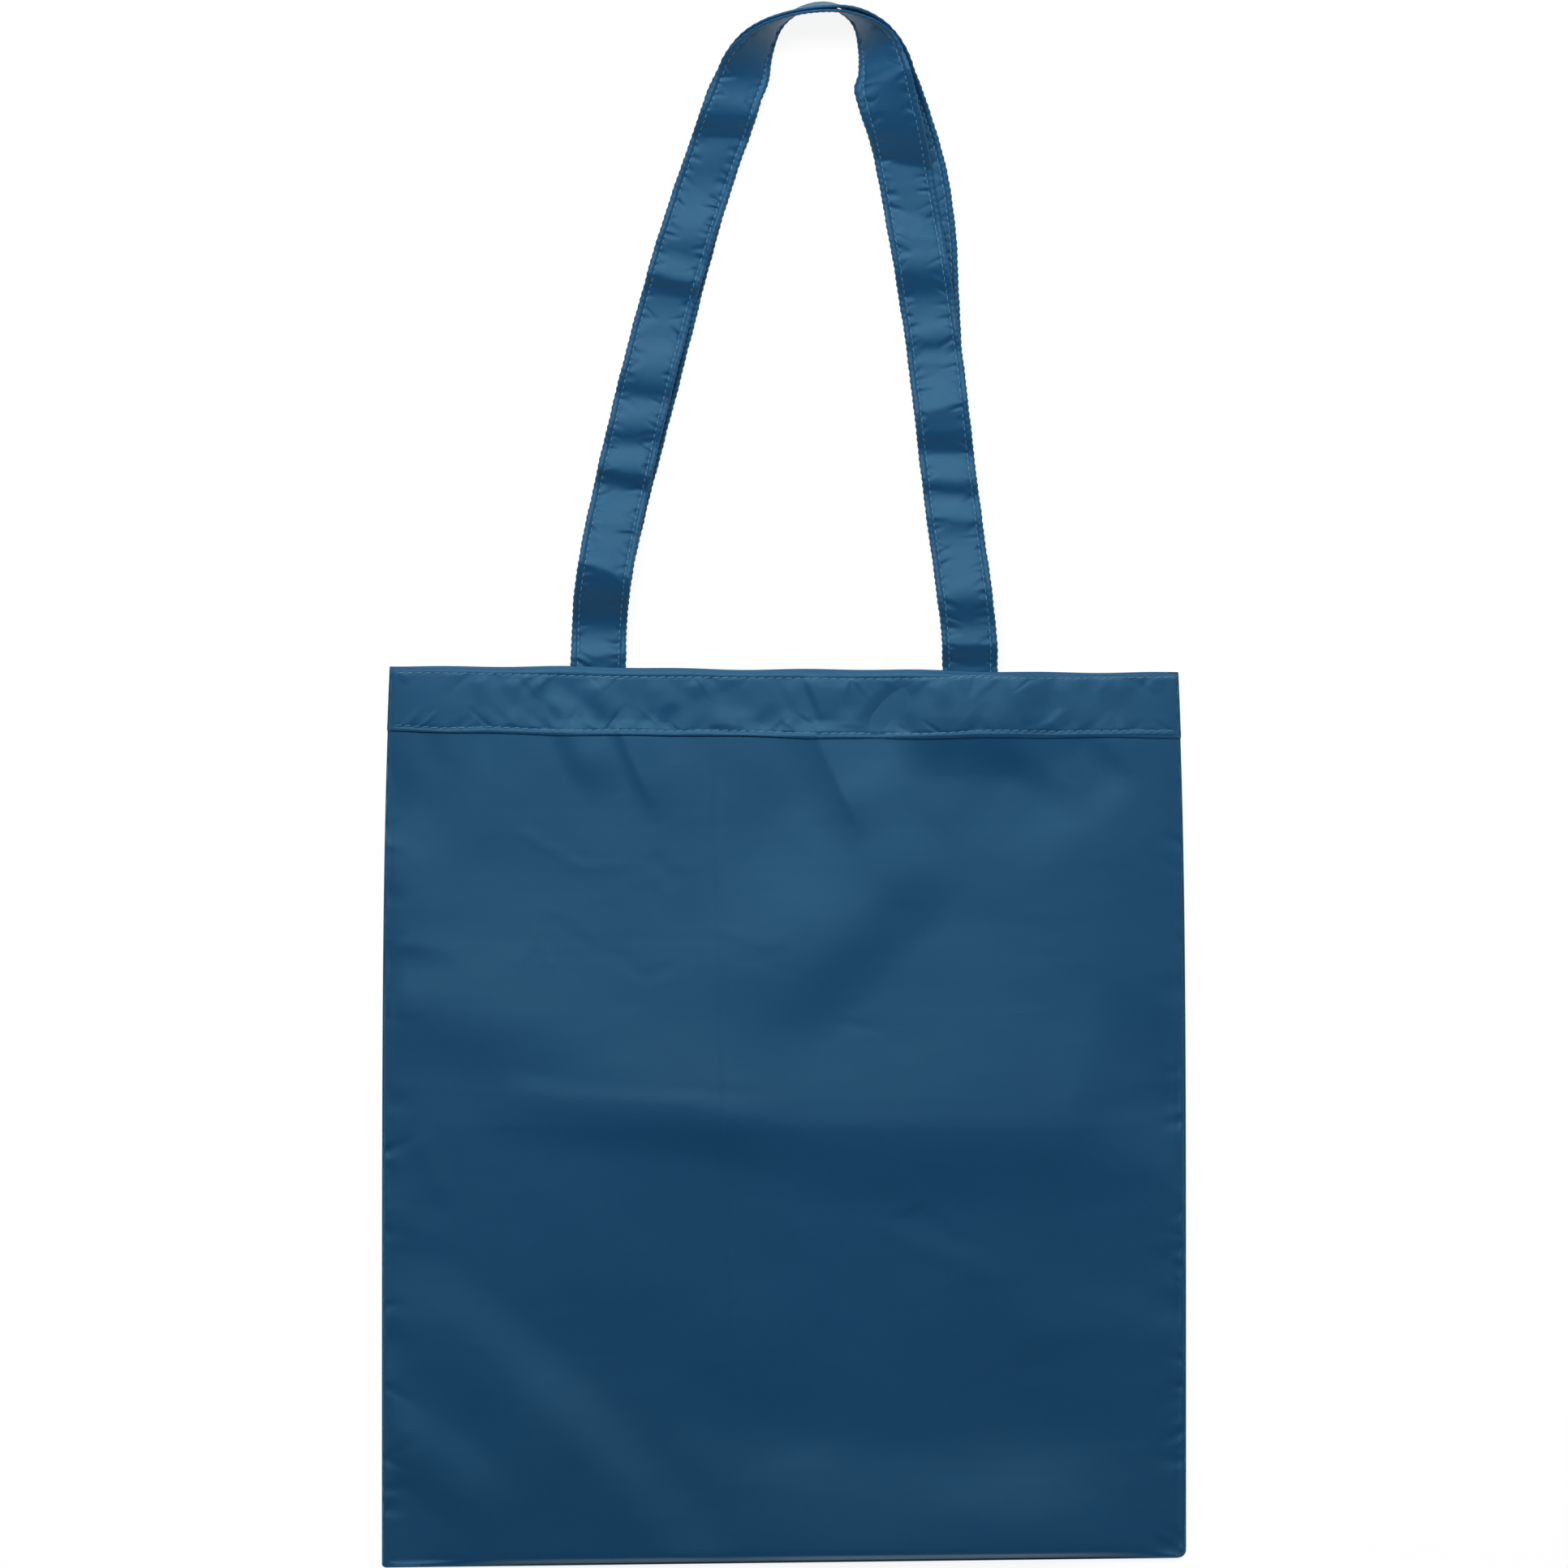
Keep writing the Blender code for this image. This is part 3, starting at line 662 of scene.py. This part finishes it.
def build_front_hem(material):
    """The hem's second layer on the front: turned over the mouth, with a rolled lower edge."""
    surface = Surface()
    acrosses = np.linspace(-1.0, 1.0, 560)
    across, share = np.meshgrid(acrosses, np.linspace(HEM_DEPTH, 0.0, 64) / HEM_DEPTH)
    x, mouth = outline(across, np.ones_like(across))
    below = share * (mouth - line_at(HEM_EDGE, x))
    x, y = outline(across, 1.0 - below / side_length(across))
    z = hem_height(across, below)
    points = sheet_points(x, y, z, EDGE_ROLL)
    under = panel_height(acrosses, 1.0 - below[0] / side_length(acrosses))
    gap = np.maximum(z[0] - under - 0.05, 0.1)
    rows = turn_over(surface, points[0], HEM_EDGE_TURN, 0.45, gap, -1.0)
    rows += list(surface.add(points))
    rows += turn_over(surface, points[-1], MOUTH_TURN, 0.7, 1.3)
    surface.skin(rows)
    rows = np.array(rows)
    roll_under(surface, rows[::-1, 0], EDGE_ROLL + 0.25, 0.5, (-1.0, 0.0))
    roll_under(surface, rows[:, -1], EDGE_ROLL + 0.25, 0.5, (1.0, 0.0))
    return surface.piece("hem_front", material, "bag_cloth")


def back_height(x, y):
    """The back panel lies on the ground but for faint waves."""
    return 0.3 + 0.12 * (1 + np.sin(x / 31.0 + 1.0) * np.sin(y / 27.0))


def build_back_panel(material):
    """The back panel, flat on the ground."""
    surface = Surface()
    across, along = np.meshgrid(np.linspace(-1.0, 1.0, 120), np.linspace(0.0, 1.0, 130))
    x, y = outline(across, along)
    y = y + BACK_INSET * (1.0 - along)
    surface.skin(surface.add(sheet_points(x, y, back_height(x, y), BACK_INSET)))
    piece = surface.piece("bag_back", material, "bag_cloth")
    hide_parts("bag_body")
    return piece


def build_back_hem(material):
    """The hem's second layer on the back, seen inside the mouth."""
    surface = Surface()
    across, below = np.meshgrid(np.linspace(-1.0, 1.0, 300), np.linspace(HEM_DEPTH, 0.0, 30))
    x, y = outline(across, 1.0 - below / side_length(across))
    rows_near = hump(line_at(ROW_BY_MOUTH, x) - y, 3) + hump(line_at(ROW_BY_EDGE, x) - y, 3)
    relief = 0.1 * np.cos(2 * np.pi * x / HEM_PITCH) * rows_near
    points = sheet_points(x, y, back_height(x, y) + BACK_HEM_LIP + relief, BACK_INSET)
    rows = list(surface.add(points))
    rows += turn_over(surface, points[-1], BACK_MOUTH_TURN, 0.3, BACK_HEM_LIP)
    surface.skin(rows)
    return surface.piece("hem_back", material, "bag_cloth")


def smooth_route(stations):
    """The route through its points, evenly spaced: x, y, turn, share of the way, and whole length."""
    knots = np.array([(across * HANDLE_SPACING / 2, MOUTH_Y + along * HANDLE_RISE, turn)
                      for across, along, turn in HANDLE_ROUTE])
    padded = np.concatenate((knots[:1], knots, knots[-1:]))
    fine = []
    for before, start, end, after in zip(padded, padded[1:], padded[2:], padded[3:]):
        t = np.linspace(0, 1, 40, endpoint=False)[:, None]
        out = start + (end - before) / 6
        back = end - (after - start) / 6
        fine.append((1 - t) ** 3 * start + 3 * (1 - t) ** 2 * t * out
                    + 3 * (1 - t) * t * t * back + t ** 3 * end)
    fine = np.concatenate(fine + [knots[-1:]])
    travelled = np.concatenate(([0.0], np.cumsum(np.hypot(*np.diff(fine[:, :2], axis=0).T))))
    share = np.linspace(0, 1, stations)
    wanted = share * travelled[-1]
    x, y, turn = (np.interp(wanted, travelled, fine[:, k]) for k in range(3))
    return x, y, np.clip(turn, 0, None), share, travelled[-1]


def leg_relief(y, share, slopes):
    """The height that a leg's slopes add up to, at places y and shares 0 to 1 across, left to right."""
    fine = np.arange(slopes[-1].y, slopes[0].y, LEG_STEP)
    wide = np.arange(-LEG_SMOOTHING, LEG_SMOOTHING, LEG_STEP) / (0.4 * LEG_SMOOTHING)
    wide = np.exp(-0.5 * wide ** 2)
    heights = []
    for column in np.linspace(0.0, 1.0, LEG_COLUMNS):
        knots = [(slope.y + slope.slant * column, math.tan(math.radians(slope.degrees)))
                 for slope in slopes]
        places, steepness = np.array(knots[::-1]).T
        height = -np.cumsum(np.interp(fine, places, steepness)) * LEG_STEP
        # only the bends stay, and not the long rise and fall under them
        padded = np.pad(height, len(wide) // 2, mode="edge")
        slow = np.convolve(padded, wide / wide.sum(), mode="same")
        heights.append(height - slow[len(wide) // 2:][:len(fine)])
    heights = np.array(heights)
    column = np.clip(share, 0.0, 1.0) * (LEG_COLUMNS - 1)
    left = np.minimum(column.astype(int), LEG_COLUMNS - 2)
    spot = np.clip((y - fine[0]) / LEG_STEP, 0.0, len(fine) - 1.001)
    low = spot.astype(int)
    mix_x, mix_y = column - left, spot - low
    on_left = (1 - mix_y) * heights[left, low] + mix_y * heights[left, low + 1]
    on_right = (1 - mix_y) * heights[left + 1, low] + mix_y * heights[left + 1, low + 1]
    return (1 - mix_x) * on_left + mix_x * on_right


class Handle:
    """A strip swept along the loop and turned on to its edge around the top."""

    STATIONS = 1100
    FACE_POINTS = 37
    UNDER_POINTS = 15

    def __init__(self, is_front):
        self.is_front = is_front
        self.slack = 1.0 if is_front else BACK_HANDLE_SLACK
        x, y, turn, share, self.length = smooth_route(self.STATIONS)
        travel = unit(np.stack((np.gradient(x), np.gradient(y)), axis=-1))
        inward = np.stack((travel[:, 1], -travel[:, 0], np.zeros(self.STATIONS)), axis=-1)
        angle = turn * HANDLE_LEAN
        up = np.array((0.0, 0.0, 1.0))
        sine, cosine = np.sin(angle)[:, None], np.cos(angle)[:, None]
        self.width_way = inward * cosine - up * sine
        self.face_way = inward * sine + up * cosine
        centre = np.stack((x, y, np.zeros(self.STATIONS)), axis=-1)
        centre[:, 2] = HALF_HANDLE * np.sin(angle) + HANDLE_THICKNESS / 2 * np.abs(np.cos(angle))
        if is_front:
            resting = HANDLE_THICKNESS * 1.5 + HANDLE_GAP
            drop = self.under_hem(x, y) - resting
            fallen = ease((y - MOUTH_Y - LEVEL_LENGTH) / FRONT_DROP)
            centre[:, 2] += NESTING * np.maximum(np.cos(angle), 0) + drop * (1 - fallen)
        else:
            spread = LOOP_SPREAD * hump(share - LOOP_SPREAD_AT, LOOP_SPREAD_REACH)[:, None]
            centre -= inward * (NESTING + spread) * sine
            fallen = ease((y - MOUTH_Y) / BACK_DROP)
            centre[:, 2] += NESTING * np.maximum(-np.cos(angle), 0) + BACK_LIFT * (1 - fallen)
            slide = sum(far * hump(share - middle, reach) for middle, reach, far in BACK_HANDLE_SLIDES)
            centre += inward * slide[:, None]
        self.centre = centre

    @staticmethod
    def under_hem(x, y):
        """The height of a strip's middle when it lies against the inside of the front panel."""
        heights = []
        for shift in (-HALF_HANDLE, 0.0, HALF_HANDLE):
            across = (x + shift) / (HALF_WIDTH - MOUTH_DRAW_IN)
            along = (y - FOOT_Y - FOOT_SLANT * (across + 1) / 2) / side_length(across)
            heights.append(panel_height(across, np.clip(along, 0.0, 1.0)))
        return np.min(heights, axis=0) - UNDER_HEM_GAP - HANDLE_THICKNESS / 2

    def edge_shift(self, distance, side):
        """How far an edge of the strip strays from its line, more where the strip twists."""
        twisted = hump(distance / self.length - 0.5, TWIST_REACH)
        phase = 1.7 * side + (0.0 if self.is_front else 2.3)
        waves = 0.1 * np.sin(distance / 2.1 + phase) + 0.16 * np.sin(distance / 5.3 + 2 * phase)
        waves = waves - 0.3 * np.cos(2 * np.pi * distance / HANDLE_PITCH)
        kinks = np.abs(np.sin(distance / 13.0 + phase)) + 0.6 * np.abs(np.sin(distance / 7.9 + phase))
        return 0.6 * waves + 1.2 * twisted * (kinks - 0.9)

    def relief(self, distance, across):
        """Relief of the sewn strip: beads at its edges, stitched grooves and puckers between them."""
        rng = np.random.default_rng(SEED + (2 if self.is_front else 3))
        from_edge = HALF_HANDLE - np.abs(across)
        holes = needle_holes(distance, HANDLE_PITCH)
        relief = 0.25 * hump(from_edge - 1.4, 1.6)
        relief -= 0.16 * hump(from_edge - STITCH_INSET, 1.0)
        relief -= 0.14 * holes * hump(from_edge - STITCH_INSET, 1.3)
        relief += 0.22 * (1 - holes) * hump(from_edge - STITCH_INSET + 1.6, 1.5)
        inner_edge = across - HALF_HANDLE + INNER_LAYER_INSET
        relief -= 0.05 * hump(inner_edge, 0.7) * (0.4 + 0.6 * holes)
        for side in (-1, 1):
            off = HALF_HANDLE - STITCH_INSET - side * across
            place = rng.uniform(0, 4)
            while place < self.length:
                strength, width = rng.uniform(0.15, 0.95), rng.uniform(1.3, 3.2)
                reach, lean = rng.uniform(2.5, 9.5), rng.uniform(-0.7, 0.7)
                fade = np.clip(1 - off / reach, 0, 1) * (off > -0.6)
                relief -= self.slack * strength * fade * hump(distance - place - lean * off, width)
                place += rng.uniform(2.4, 7.0)
        # the cloth between the rows is slack
        waves = np.sin(distance / 11.0 + 1.3) + np.sin(distance / 6.1 + 0.4 * np.sin(distance / 17.0))
        relief += 0.08 * waves * hump(across, HALF_HANDLE - STITCH_INSET)
        return relief

    def place(self, distance, across, out, relief_share):
        """Points of the strip from millimetres along, across and out of its face."""
        spot = distance / self.length * (self.STATIONS - 1)
        stations = np.arange(self.STATIONS)
        centre, width_way, face_way = (
            np.stack([np.interp(spot, stations, values[:, k]) for k in range(3)], axis=-1)
            for values in (self.centre, self.width_way, self.face_way))
        by_inner_edge = np.clip(across / HALF_HANDLE, 0, 1) ** 2
        by_outer_edge = np.clip(-across / HALF_HANDLE, 0, 1) ** 2
        shift = self.edge_shift(distance, 1) * by_inner_edge
        shift -= self.edge_shift(distance, -1) * by_outer_edge
        out = out + relief_share * self.relief(distance, across)
        points = centre + width_way * (across + shift)[..., None] + face_way * out[..., None]
        if self.is_front:
            y = points[..., 1].copy()
            leg_top = MOUTH_Y + LEG_TOP_SHARE * HANDLE_RISE
            flat = ease(1.0 - (centre[..., 1] - leg_top) / LEG_TOP_FADE)
            outside = ease((y - MOUTH_Y - 1.0) / LEG_FOOT_FADE)
            left_leg = distance < self.length / 2
            # from the left edge of the picture to the right one
            from_left = 0.5 - np.where(left_leg, -1, 1) * across / HANDLE_WIDTH
            left_bends, right_bends = (leg_relief(y, from_left, leg) for leg in (LEFT_LEG, RIGHT_LEG))
            bends = np.where(left_leg, left_bends, right_bends)
            lift = RIGHT_LIFT * hump(y - RIGHT_LIFT_Y, RIGHT_LIFT_REACH) * ~left_leg
            # the strip can't go below the other one
            level = centre[..., 2] - HANDLE_THICKNESS * 1.5 - HANDLE_GAP
            free = np.logaddexp(0.0, (level + LEG_BENDS * bends + LEG_CLEARANCE + lift) * 2.0) / 2.0
            points[..., 2] += (free - level) * flat * outside
            kink_reach = np.where(y > KINK_Y, KINK_ABOVE, KINK_BELOW)
            kink = KINK_DEPTH * hump(y - KINK_Y, kink_reach) * ~left_leg
            points += width_way * (kink * by_inner_edge)[..., None]
        points[..., 2] = np.maximum(points[..., 2], 0.05)
        return points

    def build(self, name, node, material):
        """The strip as a closed mesh with rounded edges."""
        surface = Surface()
        half_thick = HANDLE_THICKNESS / 2
        inner = HALF_HANDLE - half_thick
        even = np.linspace(-inner, inner, self.FACE_POINTS)
        face = 0.6 * even + 0.4 * inner * np.sin(even / inner * np.pi / 2)
        turn = np.radians((60, 30, 0, -30, -60))
        under = np.linspace(inner, -inner, self.UNDER_POINTS)
        rounding = half_thick * np.cos(turn)
        across = np.concatenate((face, inner + rounding, under, -inner - rounding))
        out = np.concatenate((np.full(len(face), half_thick), half_thick * np.sin(turn),
                              np.full(len(under), -half_thick), -half_thick * np.sin(turn)))
        flat_edge = np.zeros(len(turn))
        share = np.concatenate((np.ones(len(face)), flat_edge, np.full(len(under), -0.6), flat_edge))
        distance = np.linspace(0.0, self.length, self.STATIONS)
        distance, across = np.meshgrid(distance, across, indexing="ij")
        out = np.broadcast_to(out, across.shape)
        numbers = surface.add(self.place(distance, across, out, share))
        surface.skin(np.concatenate((numbers, numbers[:, :1]), axis=1)[::-1])
        surface.faces.append(numbers[0].tolist())
        surface.faces.append(numbers[-1][::-1].tolist())
        piece = surface.piece(name, material, "handle_cloth")
        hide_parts(node)
        return piece

    def stitches(self, name, material):
        """A row of stitches along each edge, on the upper face."""
        starts = np.arange(4.0, self.length - 6.0, HANDLE_PITCH)
        ends, lifts = [], []
        for side in (-1, 1):
            across = side * (HALF_HANDLE - STITCH_INSET) + 0.12 * np.sin(starts / 9.0 + side)
            level = np.full(starts.shape, HANDLE_THICKNESS / 2)
            pair = [self.place(starts + shift, across, level, 1.0)
                    for shift in (0.5, HANDLE_PITCH - 0.6)]
            above = self.place(starts + 0.5, across, level + 1.0, 1.0)
            ends.append(np.stack(pair, axis=1))
            lifts.append(above - pair[0])
        return build_stitches(name, ends, lifts, material, "handle_cloth")


def build_stitches(name, ends, lifts, material, slot_name):
    """Small rounded threads between pairs of points, each with the direction out of the cloth."""
    ends, lifts = np.concatenate(ends), np.concatenate(lifts)
    surface = Surface()
    run = ends[:, 1] - ends[:, 0]
    length = np.linalg.norm(run, axis=1, keepdims=True)
    run = run / length
    lifts = unit(lifts - run * np.sum(lifts * run, axis=1, keepdims=True))
    across = np.cross(run, lifts)
    angles = np.linspace(0, 2 * np.pi, THREAD_SIDES, endpoint=False)
    rows = []
    for share, fat, height in THREAD_RINGS:
        centre = ends[:, 0] + run * length * share + lifts * THREAD * 0.5 * height
        ring = (centre[:, None] + (across[:, None] * np.cos(angles)[:, None]
                                   + lifts[:, None] * np.sin(angles)[:, None]) * THREAD / 2 * fat)
        rows.append(surface.add(ring))
    rows = np.stack(rows, axis=1)
    for thread in rows:
        surface.skin(np.concatenate((thread, thread[:, :1]), axis=1))
        surface.faces.append(thread[0][::-1].tolist())
        surface.faces.append(thread[-1].tolist())
    return surface.piece(name, material, slot_name)


def hem_points(x, y):
    """Places on the front hem."""
    across = x / (HALF_WIDTH - MOUTH_DRAW_IN)
    mouth = outline(across, np.ones_like(across))[1]
    below = mouth - y
    px, py = outline(across, 1.0 - below / side_length(across))
    return np.stack((px, py, hem_height(across, below)), axis=-1)


def build_hem_stitches(material):
    """Both rows of the front hem, and a short second run below each handle."""
    # a row, from where to where it runs, how far it is shifted and how much it slants
    runs = ((ROW_BY_MOUTH, -184.0, 184.0, 0.0, 0.0), (ROW_BY_EDGE, -184.0, 184.0, 0.0, 0.0),
            (ROW_BY_MOUTH, -98.0, -75.0, -0.7, -0.05), (ROW_BY_MOUTH, 76.0, 102.0, 0.7, 0.03))
    ends, lifts = [], []
    for line, low, high, shift, slope in runs:
        steps = np.arange(math.ceil(low / HEM_PITCH), math.floor(high / HEM_PITCH))
        x = steps * HEM_PITCH + 2.2 * abs(shift)
        y = line_at(line, x) + shift + slope * (x - (low + high) / 2)
        start = hem_points(x + 0.35, y - 0.22)
        end = hem_points(x + HEM_PITCH - 0.5, y + 0.2)
        ends.append(np.stack((start, end), axis=1))
        lifts.append(np.tile((0.0, 0.0, 1.0), (len(x), 1)))
    return build_stitches("hem_stitches", ends, lifts, material, "bag_cloth")


class Graph:
    """A new material and short hands for its nodes."""

    def __init__(self, name):
        self.material = bpy.data.materials.new(name)
        self.material.use_nodes = True
        tree = self.material.node_tree
        self.nodes, self.links = tree.nodes, tree.links
        self.shader = self.nodes["Principled BSDF"]

    def fill(self, node, values):
        """Set or link a node's inputs, by name or number."""
        for key, value in values.items():
            if isinstance(value, bpy.types.NodeSocket):
                self.links.new(value, node.inputs[key])
            else:
                node.inputs[key].default_value = value

    def add(self, kind, values):
        node = self.nodes.new("ShaderNode" + kind)
        self.fill(node, values)
        return node

    def maths(self, operation, a, b):
        node = self.add("Math", {0: a, 1: b})
        node.operation = operation
        return node.outputs["Value"]

    def weighted(self, *parts):
        """The sum of values, each times its weight."""
        terms = [self.maths("MULTIPLY", value, weight) for value, weight in parts]
        total = terms[0]
        for term in terms[1:]:
            total = self.maths("ADD", total, term)
        return total

    def mapped(self, stretch=(1.0, 1.0, 1.0), rotation=0.0):
        """Places on the object, stretched and turned."""
        place = self.add("TexCoord", {}).outputs["Object"]
        values = {"Vector": place, "Scale": stretch, "Rotation": (0, 0, rotation)}
        return self.add("Mapping", values).outputs["Vector"]

    def noise(self, scale, stretch=(1.0, 1.0, 1.0), detail=3.0):
        values = {"Vector": self.mapped(stretch), "Scale": scale, "Detail": detail}
        return self.add("TexNoise", values).outputs["Fac"]

    def bands(self, scale, rotation, distortion):
        vector = self.mapped(rotation=rotation)
        values = {"Vector": vector, "Scale": scale, "Distortion": distortion, "Detail": 1.0}
        wave = self.add("TexWave", values)
        wave.bands_direction = "X"
        return wave.outputs["Fac"]

    def bump(self, height, strength, distance):
        values = {"Height": height, "Strength": strength, "Distance": distance}
        return self.add("Bump", values).outputs["Normal"]


def cloth_material(name):
    """Light woven polyester: a fine plain weave with slubs, cloudy dye and a satin surface."""
    graph = Graph(name)
    weave = graph.maths("ADD", graph.bands(900.0, 0.0, 1.2), graph.bands(860.0, math.pi / 2, 1.2))
    slubs = graph.maths("ADD", graph.noise(60.0, (12.0, 1.0, 1.0)), graph.noise(60.0, (1.0, 12.0, 1.0)))
    grain = graph.noise(420.0, detail=2.0)
    clouds = graph.noise(7.0)
    height = graph.maths("ADD", weave, graph.weighted((slubs, 0.2), (grain, 0.8)))
    shades = graph.weighted((clouds, 0.6), (slubs, 0.05), (grain, 0.3))
    tone = graph.add("MapRange", {"Value": shades, "From Min": 0.4, "From Max": 0.60})
    colour = graph.nodes.new("ShaderNodeMix")
    colour.data_type = "RGBA"
    graph.fill(colour, {"Factor": tone.outputs["Result"], 6: CLOTH_DARK, 7: CLOTH_LIGHT})
    graph.fill(graph.shader, {
        "Base Color": colour.outputs[2],
        "Roughness": graph.maths("ADD", graph.maths("MULTIPLY", grain, 0.08), SATIN_ROUGHNESS),
        "Normal": graph.bump(height, 0.22, 0.0002),
        "Specular IOR Level": 1.0,
        "Specular Tint": SATIN_TINT,
        "Sheen Weight": 0.55,
        "Sheen Roughness": 0.3,
        "Sheen Tint": SHEEN_TINT,
    })
    return graph.material


def thread_material(name):
    """Twisted sewing thread with a slight gloss."""
    graph = Graph(name)
    twist = graph.maths("ADD", graph.bands(900.0, 0.7, 0.5), graph.noise(800.0))
    normal = graph.bump(twist, 0.4, 0.0001)
    graph.fill(graph.shader, {"Base Color": THREAD_COLOUR, "Roughness": 0.4, "Normal": normal})
    return graph.material


def studio_material():
    """White for the camera and gloss, with the bag's shadow kept, and grey card for other light."""
    graph = Graph("studio_white")
    graph.fill(graph.shader, {"Base Color": CARD_GREY, "Roughness": 0.9, "Specular IOR Level": 0.0})
    glow = graph.add("Emission", {"Color": SEEN_WHITE, "Strength": 1.0})
    shade = graph.add("BsdfDiffuse", {"Color": SEEN_SHADE})
    seen = graph.add("AddShader", {0: glow.outputs["Emission"], 1: shade.outputs["BSDF"]})
    path = graph.nodes.new("ShaderNodeLightPath").outputs
    direct = graph.maths("MAXIMUM", path["Is Camera Ray"], path["Is Glossy Ray"])
    direct = graph.maths("MAXIMUM", direct, path["Is Transmission Ray"])
    card = graph.shader.outputs["BSDF"]
    mix = graph.add("MixShader", {0: direct, 1: card, 2: seen.outputs["Shader"]})
    graph.fill(graph.nodes["Material Output"], {"Surface": mix.outputs["Shader"]})
    return graph.material


def build_studio():
    """A white floor inside a low white wall, soft lamps, and the camera straight above."""
    white = studio_material()
    bpy.ops.mesh.primitive_circle_add(vertices=STUDIO_SIDES, radius=STUDIO_RADIUS, fill_type="NGON",
                                      location=(0, 0, -FLOOR_DROP))
    floor = bpy.context.object
    floor.name = "studio_floor"
    bpy.ops.mesh.primitive_cylinder_add(vertices=STUDIO_SIDES, radius=STUDIO_RADIUS,
                                        depth=STUDIO_HEIGHT, end_fill_type="NOTHING",
                                        location=(0, 0, STUDIO_HEIGHT / 2))
    wall = bpy.context.object
    wall.name = "studio_wall"
    for backdrop in (floor, wall):
        backdrop.data.materials.append(white)

    scene = bpy.context.scene
    scene.world = bpy.data.worlds.new("studio")
    scene.world.use_nodes = True
    sky = scene.world.node_tree.nodes["Background"].inputs
    sky["Color"].default_value = (1, 1, 1, 1)
    sky["Strength"].default_value = WORLD_STRENGTH

    for name, place, size, power in LAMPS:
        data = bpy.data.lights.new(name, "AREA")
        data.shape = "RECTANGLE"
        data.size, data.size_y = size
        data.energy = power
        lamp = add_object(name, data)
        lamp.location = place
        lamp.rotation_euler = (-Vector(place)).to_track_quat("-Z", "Y").to_euler()

    lens = bpy.data.cameras.new("camera")
    lens.lens = lens.sensor_width * CAMERA_DISTANCE / FRAME_SIDE
    camera = add_object("camera", lens)
    camera.location = (0.0, 0.0, CAMERA_DISTANCE)
    scene.camera = camera
    scene.view_settings.view_transform = "Standard"


cloth = cloth_material("bag_cloth_look")
strip_cloth = cloth_material("handle_cloth_look")
thread = thread_material("thread_look")

back_panel = build_back_panel(cloth)
back_hem = build_back_hem(cloth)
front_panel = build_front_panel(cloth)
front_hem = build_front_hem(cloth)
hem_threads = build_hem_stitches(thread)
front_handle, back_handle = Handle(True), Handle(False)
front_strip = front_handle.build("front_handle_strip", "front_handle", strip_cloth)
back_strip = back_handle.build("back_handle_strip", "back_handle", strip_cloth)
front_threads = front_handle.stitches("front_handle_stitches", thread)
back_threads = back_handle.stitches("back_handle_stitches", thread)

build_studio()
